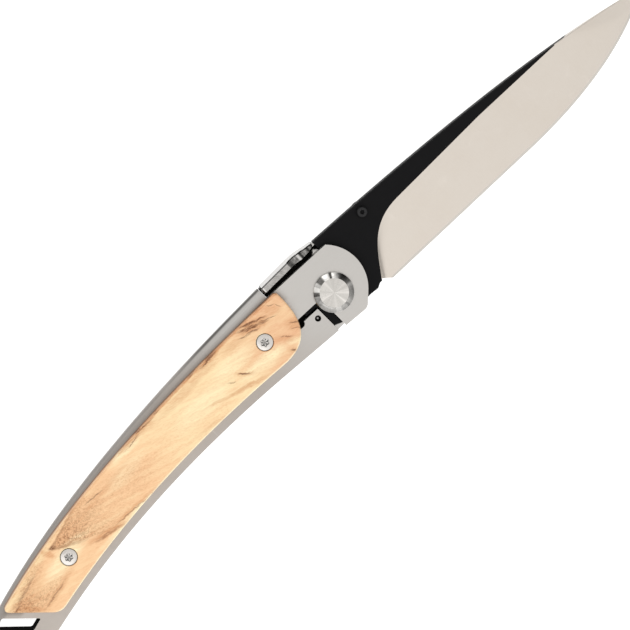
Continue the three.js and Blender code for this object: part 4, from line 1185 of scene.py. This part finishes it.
def makeBlade(s):
    middle = (levels["bladeFront"] + levels["bladeBack"]) / 2
    half = (levels["bladeFront"] - levels["bladeBack"]) / 2
    spine = bow(s["tip"], s["spineBow"], s["shoulder"], 60)
    fromAngle = math.degrees(math.acos(s["shoulder"].x / s["tangRadius"]))
    toAngle = 180 - math.degrees(math.asin(s["ledge"] / s["tangRadius"]))
    tang = arc(at(0, 0), s["tangRadius"], fromAngle, toAngle, 40)
    choil = bow(s["choilStart"], s["choilBow"], s["choil"], 8)
    rim = [
        *spine, *tang, at(s["lockFace"], s["ledge"]),
        *s["tangStep"], s["tangHeel"], s["foot"], *choil,
    ]
    inner = sideways(rim, lambda t: s["rim"])
    inner[0], inner[-1] = rim[0], rim[-1]

    # The line where the grind starts, from the choil to where it runs out at the spine
    plunge = bend(s["choil"], s["grind"][2], s["grind"][1], s["grind"][0], 30)
    fall = s["grindEnd"] - s["grindFall"]

    def fallAt(x):
        return s["grindFall"].y + fall.y * (x - s["grindFall"].x) / fall.x

    meeting = next(i for i, p in enumerate(inner) if p.y > fallAt(p.x))
    runOut = crossing(s["grindFall"], s["grindEnd"], inner[meeting - 1], inner[meeting] - inner[meeting - 1])
    grindLine = [*plunge]
    for a, b, steps in ((s["grind"][0], s["grindFall"], 16), (s["grindFall"], runOut, 18)):
        grindLine += [mixed(a, b, i / steps) for i in range(1, steps + 1)]
    toTip = inner[:meeting][::-1]
    upper = grindLine + toTip
    edge = [*[mixed(s["heel"], s["edgeStraightEnd"], i / 40) for i in range(40)],
            *bow(s["edgeStraightEnd"], s["edgeBow"], s["tip"], 60)]

    def edgeAt(x):
        i = next((i for i, p in enumerate(edge) if p.x >= x), len(edge) - 1)
        a, b = edge[max(i - 1, 0)], edge[i]
        share = 0 if b.x == a.x else (x - a.x) / (b.x - a.x)
        return mixed(a, b, min(max(share, 0), 1))

    squeeze = (s["tip"].x - s["heel"].x) / (s["tip"].x - s["choil"].x)
    onSpine = len(grindLine)
    bm = bmesh.new()

    def halfAt(p, foot):
        # Straight across from the grind line to the edge, with a scooped end at the plunge
        line = fallAt(max(p.x, s["grindFall"].x))
        share = min(max((line - p.y) / (line - foot.y), 0), 1) if line > foot.y else 1
        ideal = mixed(half, s["edgeHalf"], share)
        near = min(((p - q).length for q in plunge), default=9)
        q = min(near / s["plunge"], 1)
        return half - (half - ideal) * (1 - (1 - q) ** 2)

    columns = []
    for i, start in enumerate(upper):
        foot = edgeAt(s["heel"].x + (start.x - s["choil"].x) * squeeze)
        column = []
        span = (foot - start).length
        ground = max(span - s["cuttingEdge"], span * 0.3) / max(span, 1e-6)
        for j in range(s["rows"] + 1):
            p = mixed(start, foot, j / s["rows"] * ground)
            depth = half if j == 0 and i < onSpine else halfAt(p, foot)
            if i >= onSpine:  # the spine thins towards the point
                depth = min(depth, mixed(half, s["edgeHalf"], eased(start.x, runOut.x, s["tip"].x)))
            column.append((p, depth))
        columns.append((column, foot))

    front, back, feet = [], [], []
    for column, foot in columns:
        front.append([bm.verts.new((p.x, p.y, middle + depth)) for p, depth in column])
        back.append([bm.verts.new((p.x, p.y, middle - depth)) for p, depth in column])
        feet.append(bm.verts.new((foot.x, foot.y, middle)))

    def face(verts, material):
        made = bm.faces.new(verts)
        made.material_index = material

    for side in (front, back):
        for a, b, footA, footB in zip(side, side[1:], feet, feet[1:]):
            for j in range(s["rows"]):
                face((a[j], a[j + 1], b[j + 1], b[j]), 1)
            face((a[-1], footA, footB, b[-1]), 2)

    # Flat sides and the rim round them
    flatRun = inner[meeting:-1]
    rimRun = rim[meeting:-1]
    for side, level in ((front, levels["bladeFront"]), (back, levels["bladeBack"])):
        side.append([bm.verts.new((p.x, p.y, level)) for p in flatRun])
        loop = side[-1] + [column[0] for column in side[:onSpine]]
        face(loop, 0)
    drop = s["rim"]
    outer = [bm.verts.new((p.x, p.y, levels["bladeFront"] - drop)) for p in rimRun]
    under = [bm.verts.new((p.x, p.y, levels["bladeBack"] + drop)) for p in rimRun]
    for a, b in ((front[-1], outer), (outer, under), (under, back[-1])):
        for i in range(len(a) - 1):
            face((a[i], a[i + 1], b[i + 1], b[i]), 0)
    # From the rim to the point, and at the heel
    tipFront = [column[0] for column in front[onSpine - 1:-1]]
    tipBack = [column[0] for column in back[onSpine - 1:-1]]
    tipRim = [rim[meeting - 1 - i] for i in range(len(tipFront) - 1)]
    tipRim = [crossing(rim[meeting - 1], rim[meeting], runOut, at(0, 1)), *tipRim]
    ridge = []
    for p, up, down in zip(tipRim, tipFront, tipBack):
        thick = (up.co.z - down.co.z) / 2
        d = min(drop, thick * 0.4)
        ridge.append((bm.verts.new((p.x, p.y, up.co.z - d)), bm.verts.new((p.x, p.y, down.co.z + d))))
    for i in range(len(ridge) - 1):
        a, b = ridge[i], ridge[i + 1]
        face((tipFront[i], tipFront[i + 1], b[0], a[0]), 1)
        if a[0].co.x < s["blackEnd"] < b[0].co.x:  # the black runs out in a point
            face((a[0], b[1], a[1]), 0)
            face((a[0], b[0], b[1]), 1)
        else:
            face((a[0], b[0], b[1], a[1]), 0 if b[0].co.x < s["blackEnd"] else 1)
        face((a[1], b[1], tipBack[i + 1], tipBack[i]), 1)
    face((tipFront[0], ridge[0][0], outer[0], front[-1][0]), 0)
    face((ridge[0][0], ridge[0][1], under[0], outer[0]), 0)
    face((ridge[0][1], tipBack[0], back[-1][0], under[0]), 0)
    face((front[-1][-1], outer[-1], under[-1], back[-1][-1], back[0][0], front[0][0]), 0)
    for j in range(s["rows"]):
        face((front[0][j], front[0][j + 1], back[0][j + 1], back[0][j]), 1)
    face((front[0][-1], feet[0], back[0][-1]), 1)
    bmesh.ops.remove_doubles(bm, verts=bm.verts[:], dist=0.001)
    bmesh.ops.recalc_face_normals(bm, faces=bm.faces[:])
    bore = turned([(0, 0), (pivotBore, 0), (pivotBore, -5), (0, -5)], at(0, 0), 64)
    studHole = turned([(0, 0), (s["studHole"], 0), (s["studHole"], -5), (0, -5)], s["stud"], 32)
    bm = carve(bm, [bore, studHole])
    finishes = [metals[name] for name in ("blackCoating", "groundSteel", "honedSteel")]
    addPiece("Blade", bm, finishes, ["blade"], body="blade", crease=30)


makeBlade(bladeShape)
print("blade done")

# Thumb stud behind the blade, and the small screw that holds it

studShape = {
    "place": bladeShape["stud"], "radius": 2.0, "height": 2.1, "grooves": 3, "grooveDepth": 0.14,
    "screw": {"head": 1.2, "height": 0.9, "edge": 0.16, "recess": 0.52, "swing": 0.13, "depth": 0.45, "shank": 0.7},
}


def makeStud(s):
    base = levels["bladeBack"]
    end = base - s["height"]
    rows = [(0, base), (1.7, base), (s["radius"] - 0.2, base - 0.12)]
    pitch = (s["height"] - 0.7) / s["grooves"]
    for i in range(s["grooves"]):
        level = base - 0.25 - i * pitch
        rows += [
            (s["radius"], level), (s["radius"], level - pitch * 0.45),
            (s["radius"] - s["grooveDepth"], level - pitch * 0.6),
            (s["radius"] - s["grooveDepth"], level - pitch * 0.85),
        ]
    rows += [
        (s["radius"], end + 0.42), (s["radius"] - 0.1, end + 0.2), (s["radius"] - 0.35, end + 0.06),
        (1.1, end), (0.95, end + 0.08), (0, end + 0.12),
    ]
    addPiece("ThumbStud", turned(rows, s["place"], 96), [metals["blackedSteel"]],
             ["thumb_stud"], body="blade")
    small = s["screw"]
    screw = turned(screwProfile(small, levels["bladeFront"] + small["height"], -5.3), s["place"], 60)
    for f in screw.faces:
        reach = (f.calc_center_median().xy - s["place"]).length
        f.material_index = 1 if reach < small["recess"] * 1.05 or reach > small["head"] - small["edge"] else 0
    addPiece("StudScrew", screw, [metals["blackedSteel"], metals["blackCoating"]],
             ["thumb_stud_screw"], body="blade")


makeStud(studShape)
print("thumb stud done")

# Clip: the root with its polished flange, and the sprung arm

clipShape = {
    "rootLeft": -5.3,
    "rootReach": -12.4,
    "heel": 2.4,
    "foot": at(1.0, -7.4),
    "front": at(7.4, 1.0),
    "shoulder": at(-5.3, 8.6),
    "notchEnd": -11.28,
    "flangeTip": at(4.0, 11.0),
    "step": -2.2,
    # x, inner edge, outer edge, level of the top, how far it falls outwards
    "flange": [
        (-10.9, 10.75, 11.6, -0.85, 0.0), (-10.8, 10.5, 11.85, -0.5, 0.0), (-10.6, 10.38, 11.97, -0.34, 0.0),
        (-10.2, 10.35, 12.0, -0.3, 0.0), (-3.0, 10.3, 12.0, -0.3, 0.0), (-2.8, 10.28, 12.0, -0.36, 0.0),
        (-2.35, 10.25, 12.0, -0.68, 0.03), (-1.6, 10.15, 11.97, -1.02, 0.08), (-0.95, 10.05, 11.92, -1.1, 0.1),
        (-0.2, 9.98, 11.85, -0.76, 0.12), (0.0, 9.95, 11.8, -0.62, 0.12), (0.25, 9.93, 11.76, -0.62, 0.12),
        (0.95, 9.9, 11.62, -1.06, 0.14), (1.5, 9.92, 11.5, -1.14, 0.14), (2.05, 9.95, 11.38, -0.9, 0.14),
        (2.3, 9.98, 11.33, -0.92, 0.14), (2.9, 10.05, 11.2, -1.3, 0.14), (3.4, 10.15, 11.12, -1.4, 0.12),
        (3.8, 10.3, 11.05, -1.55, 0.1), (4.0, 10.5, 10.95, -1.9, 0.05),
    ],
    "flangeSmoothing": 2,
    "darkFlangeFrom": -2.9,
    "crest": (-0.35, 0.42),
    # the band in Y of the root's front face that gets painted shade
    "paintedShadeFrom": -6.2,
    "paintedShadeTo": 9.85,
    "armReach": -62.0,
    "armWidth": (5.0, 4.0),
    "armTop": 8.0,
    "armTipMargin": 2.4,
    "armThickness": 0.9,
    "armCorner": 0.22,
    "armEnd": 2.4,
    "armBend": 5.0,
    # to the left of the pivot: where the arm steps down to its own level, dips to the handle and flares out again
    "armStep": (6.1, 10.6),
    "armDip": (45, 54),
    "armFlare": (54, 60),
    "armSteps": 110,
}


def makeClipRoot(s):
    corner = 1.2
    left, heel = s["rootReach"], s["heel"]
    outline = [
        at(s["rootLeft"], heel), at(left + corner, heel),
        *bow(at(left + corner, heel), at(left, heel), at(left, heel - corner), 6)[1:],
        *bow(at(left, -1.2), at(left, -5.8), at(s["rootLeft"], s["foot"].y), 16),
        *bend(s["foot"], at(5.0, -7.4), at(7.4, -3.5), s["front"], 16),
        *bend(s["front"], at(7.4, 5.0), at(6.4, 8.0), s["flangeTip"], 12)[1:],
        at(1.8, 11.1), at(s["step"], 11.9), at(-10.5, 11.9), at(s["notchEnd"], 11.6),
        at(s["notchEnd"], 9.0), s["shoulder"],
    ]
    plate = soften(slab(outline, levels["clipBack"], levels["clipFront"]), 0.12)

    stations = s["flange"]
    count = 110
    rows = []
    for i in range(count + 1):
        x = mixed(stations[0][0], stations[-1][0], i / count)
        j = next(j for j in range(1, len(stations)) if x <= stations[j][0] + 1e-6)
        before, after = stations[j - 1], stations[j]
        share = (x - before[0]) / (after[0] - before[0])
        rows.append([mixed(p, q, share) for p, q in zip(before, after)])
    for _ in range(s["flangeSmoothing"]):
        inBetween = [[(p + 2 * q + r) / 4 for p, q, r in zip(*three)] for three in zip(rows, rows[1:], rows[2:])]
        rows = [rows[0], *inBetween, rows[-1]]
    low = levels["clipBack"] + 0.02
    rings = []
    for x, inner, outer, top, fall in rows:
        rings.append([
            (x, inner, low), (x, inner, top - 0.2), (x, inner + 0.16, top), (x, outer - 0.26, top - fall),
            (x, outer - 0.07, top - 0.09 - fall), (x, outer, top - 0.3 - fall), (x, outer, low),
        ])
    bm = carve(plate, [closedShape(rings)], "UNION")
    bm = carve(bm, [turned([(0, -3), (pivotBore, -3), (pivotBore, -6), (0, -6)], at(0, 0), 64)])
    for place, way in ((at(0, s["paintedShadeFrom"]), at(0, 1)), (at(0, s["paintedShadeTo"]), at(0, 1)), (at(-10.95, 0), at(1, 0))):
        bmesh.ops.bisect_plane(
            bm, geom=bm.verts[:] + bm.edges[:] + bm.faces[:], plane_co=(*place, 0), plane_no=(*way, 0),
        )
    for f in bm.faces:
        middle = f.calc_center_median()
        # painted shade (material 1): the root's front face where it lies in the handle, a dark line on the flange's
        # outer edge, and the flange's left end
        inner = s["paintedShadeFrom"] < middle.y < s["paintedShadeTo"] or middle.x < s["flange"][0][0]
        inner = inner and abs(middle.z - levels["clipFront"]) < 0.05 and f.normal.z > 0.9
        edge = middle.y > 10.8 and middle.z > -2.2 and 0.35 < f.normal.y < 0.93
        onFlange = middle.y > 9.6 and middle.z > -2.0
        crest = s["crest"][0] < middle.x < s["crest"][1] and f.normal.z > 0.5
        # the flange past its step is coloured very dark, apart from its crest
        darkFlange = onFlange and middle.x > s["darkFlangeFrom"] and not crest
        brushed = onFlange and -10.4 < middle.x < s["darkFlangeFrom"] and f.normal.z > 0.95
        end = middle.x < -10.7 and middle.y > 9 and f.normal.z < 0.5 and (f.normal.y < 0.9 or middle.x < -10.92)
        f.material_index = 1 if inner or edge or end else 2 if darkFlange else 3 if brushed else 0
    finishes = [metals[name] for name in ("polishedSteel", "paintedShadeSteel", "paintedDarkSteel", "brushedSteel")]
    addPiece("ClipRoot", bm, finishes, ["clip_mount"], crease=28)


def makeClipArm(s):
    touch = levels["lipBack"] - 0.15
    armFront = levels["rest"] + s["armThickness"]

    def levelAt(x):
        dip = eased(-x, *s["armDip"]) - eased(-x, *s["armFlare"])
        return mixed(levels["clipFront"], armFront, eased(-x, *s["armStep"])) + (touch - armFront) * dip

    notch = handleLines["notch"]
    root = notch.y - s["armTop"]
    taper = lambda t: min(t / 0.55, 1)
    run = [at(0, notch.y), *bow(notch, handleLines["spineBow"], handleLines["buttCorner"], 96)]
    outer = sideways(run, lambda t: mixed(root, s["armTipMargin"], taper(t)))
    inner = sideways(outer, lambda t: mixed(*s["armWidth"], taper(t)))
    rings = []
    for i in range(s["armSteps"] + 1):
        x = mixed(s["rootLeft"], s["armReach"], i / s["armSteps"])
        yOut = heightOn(outer, x)
        yIn = heightOn(inner, x)
        middle, halfWidth = (yOut + yIn) / 2, (yOut - yIn) / 2
        left = x - s["armReach"]
        halfWidth *= math.sqrt(max(0.02, 1 - (1 - min(left / s["armEnd"], 1)) ** 2))
        z = levelAt(x)
        low = z - s["armThickness"]
        a, b = middle - halfWidth, middle + halfWidth
        c = min(s["armCorner"], halfWidth * 0.4)
        corners = ((b - c, z - c, 0), (a + c, z - c, 90), (a + c, low + c, 180), (b - c, low + c, 270))
        rounds = [(at(cy, cz), start + 30 * k) for cy, cz, start in corners for k in range(4)]
        rings.append([
            (x, centre.x + c * math.cos(math.radians(angle)), centre.y + c * math.sin(math.radians(angle)))
            for centre, angle in rounds
        ])
    piece = addPiece("ClipArm", closedShape(rings), [metals["polishedSteel"]],
                     ["clip_arm"], body=None)
    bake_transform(piece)


makeClipRoot(clipShape)
makeClipArm(clipShape)
print("clip done")

# Floor, light and camera

stageLook = {
    "floorSize": 6.0,
    "floor": (0.5, 0.499, 0.497, 1),
    "speckle": (0.49, 0.489, 0.487, 1),
    "glow": (0.84, 0.838, 0.835, 1),
}


def makeStage(s):
    bm = bmesh.new()
    bmesh.ops.create_grid(bm, x_segments=2, y_segments=2, size=s["floorSize"] / 2)
    mesh = bpy.data.meshes.new("Floor")
    bm.to_mesh(mesh)
    bm.free()
    material, tree, shader, place = startMaterial("paleFloor")
    speckle = addNode(tree, "TexNoise", {"Vector": place, "Scale": 0.02, "Detail": 3.0})
    tree.links.new(tinted(tree, speckle.outputs["Fac"], s["floor"], s["speckle"]), shader["Base Color"])
    shader["Roughness"].default_value = 0.9
    shader["Specular IOR Level"].default_value = 0.1
    shader["Emission Color"].default_value = s["glow"]
    shader["Emission Strength"].default_value = 1.0
    mesh.materials.append(material)
    floor = bpy.data.objects.new("Floor", mesh)
    bpy.context.scene.collection.objects.link(floor)


def addPanel(name, place, size, power):
    light = bpy.data.lights.new(name, "AREA")
    light.shape = "RECTANGLE"
    light.size, light.size_y = size
    light.energy = power
    panel = bpy.data.objects.new(name, light)
    panel.location = place
    panel.rotation_euler = (-Vector(place)).to_track_quat("-Z", "Y").to_euler()
    bpy.context.scene.collection.objects.link(panel)


studioLook = {
    "tint": (1.0, 0.985, 0.965),
    "horizon": 0.62,
    "dome": 1.25,
    # azimuth, elevation, half width in degrees, and how much lighter or darker than the sweep
    "patches": [
        (-100, 40, 55, 0.2),
        (102, 8, 36, 0.5),
        (10, 30, 24, -0.75),
        (-45, 25, 22, -0.25),
        (72, 32, 10, 1.0),
        (46, 32, 9, 0.9),
        (185, 44, 14, -0.5),
    ],
    "panel": {"place": (-0.55, -0.25, 0.85), "size": (0.9, 0.9), "power": 1.8},
}


def makeStudio(s):
    # A pale sweep, light overhead and greyer at the horizon, with soft panels and gaps between them
    world = bpy.data.worlds.new("Studio")
    world.use_nodes = True
    tree = world.node_tree
    direction = addNode(tree, "TexCoord").outputs["Generated"]
    height = addNode(tree, "SeparateXYZ", {0: direction}).outputs["Z"]
    level = ranged(tree, height, 0.05, 0.85, to=(s["horizon"], s["dome"]))
    for azimuth, elevation, halfWidth, strength in s["patches"]:
        a, e = math.radians(azimuth), math.radians(elevation)
        aim = (math.cos(a) * math.cos(e), math.sin(a) * math.cos(e), math.sin(e))
        near = addNode(tree, "VectorMath", {0: direction, 1: aim}, operation="DOT_PRODUCT").outputs["Value"]
        spot = ranged(tree, near, math.cos(math.radians(halfWidth)), math.cos(math.radians(halfWidth * 0.45)))
        level = number(tree, "ADD", level, times(tree, spot, strength))
    level = number(tree, "MAXIMUM", level, 0.02)
    background = tree.nodes["Background"].inputs
    background["Color"].default_value = (*s["tint"], 1)
    tree.links.new(level, background["Strength"])
    bpy.context.scene.world = world
    addPanel("SoftPanel", **s["panel"])


makeStage(stageLook)
makeStudio(studioLook)

cameraLook = {
    "tilt": math.radians(10), "lens": 300.0, "sensor": 36.0, "frameWidth": 138.46, "aim": (-6.45, -0.65, 0.0),
}


def makeCamera(s):
    away = Vector((0, math.sin(s["tilt"]), math.cos(s["tilt"])))
    spineward = Vector((0, math.cos(s["tilt"]), -math.sin(s["tilt"])))
    right = (Vector((1, 0, 0)) - spineward).normalized()
    up = (Vector((1, 0, 0)) + spineward).normalized()
    data = bpy.data.cameras.new("PhotoCamera")
    data.lens, data.sensor_width = s["lens"], s["sensor"]
    data.clip_start, data.clip_end = 0.05, 50
    camera = bpy.data.objects.new("PhotoCamera", data)
    distance = s["lens"] / s["sensor"] * s["frameWidth"] / 1000
    turn = Matrix((right, up, away)).transposed().to_4x4()
    camera.matrix_world = Matrix.Translation(toFrame @ Vector(s["aim"]) + away * distance) @ turn
    bpy.context.scene.collection.objects.link(camera)
    bpy.context.scene.camera = camera


makeCamera(cameraLook)
bpy.context.scene.view_settings.view_transform = "Standard"
print("stage, lights and camera done")
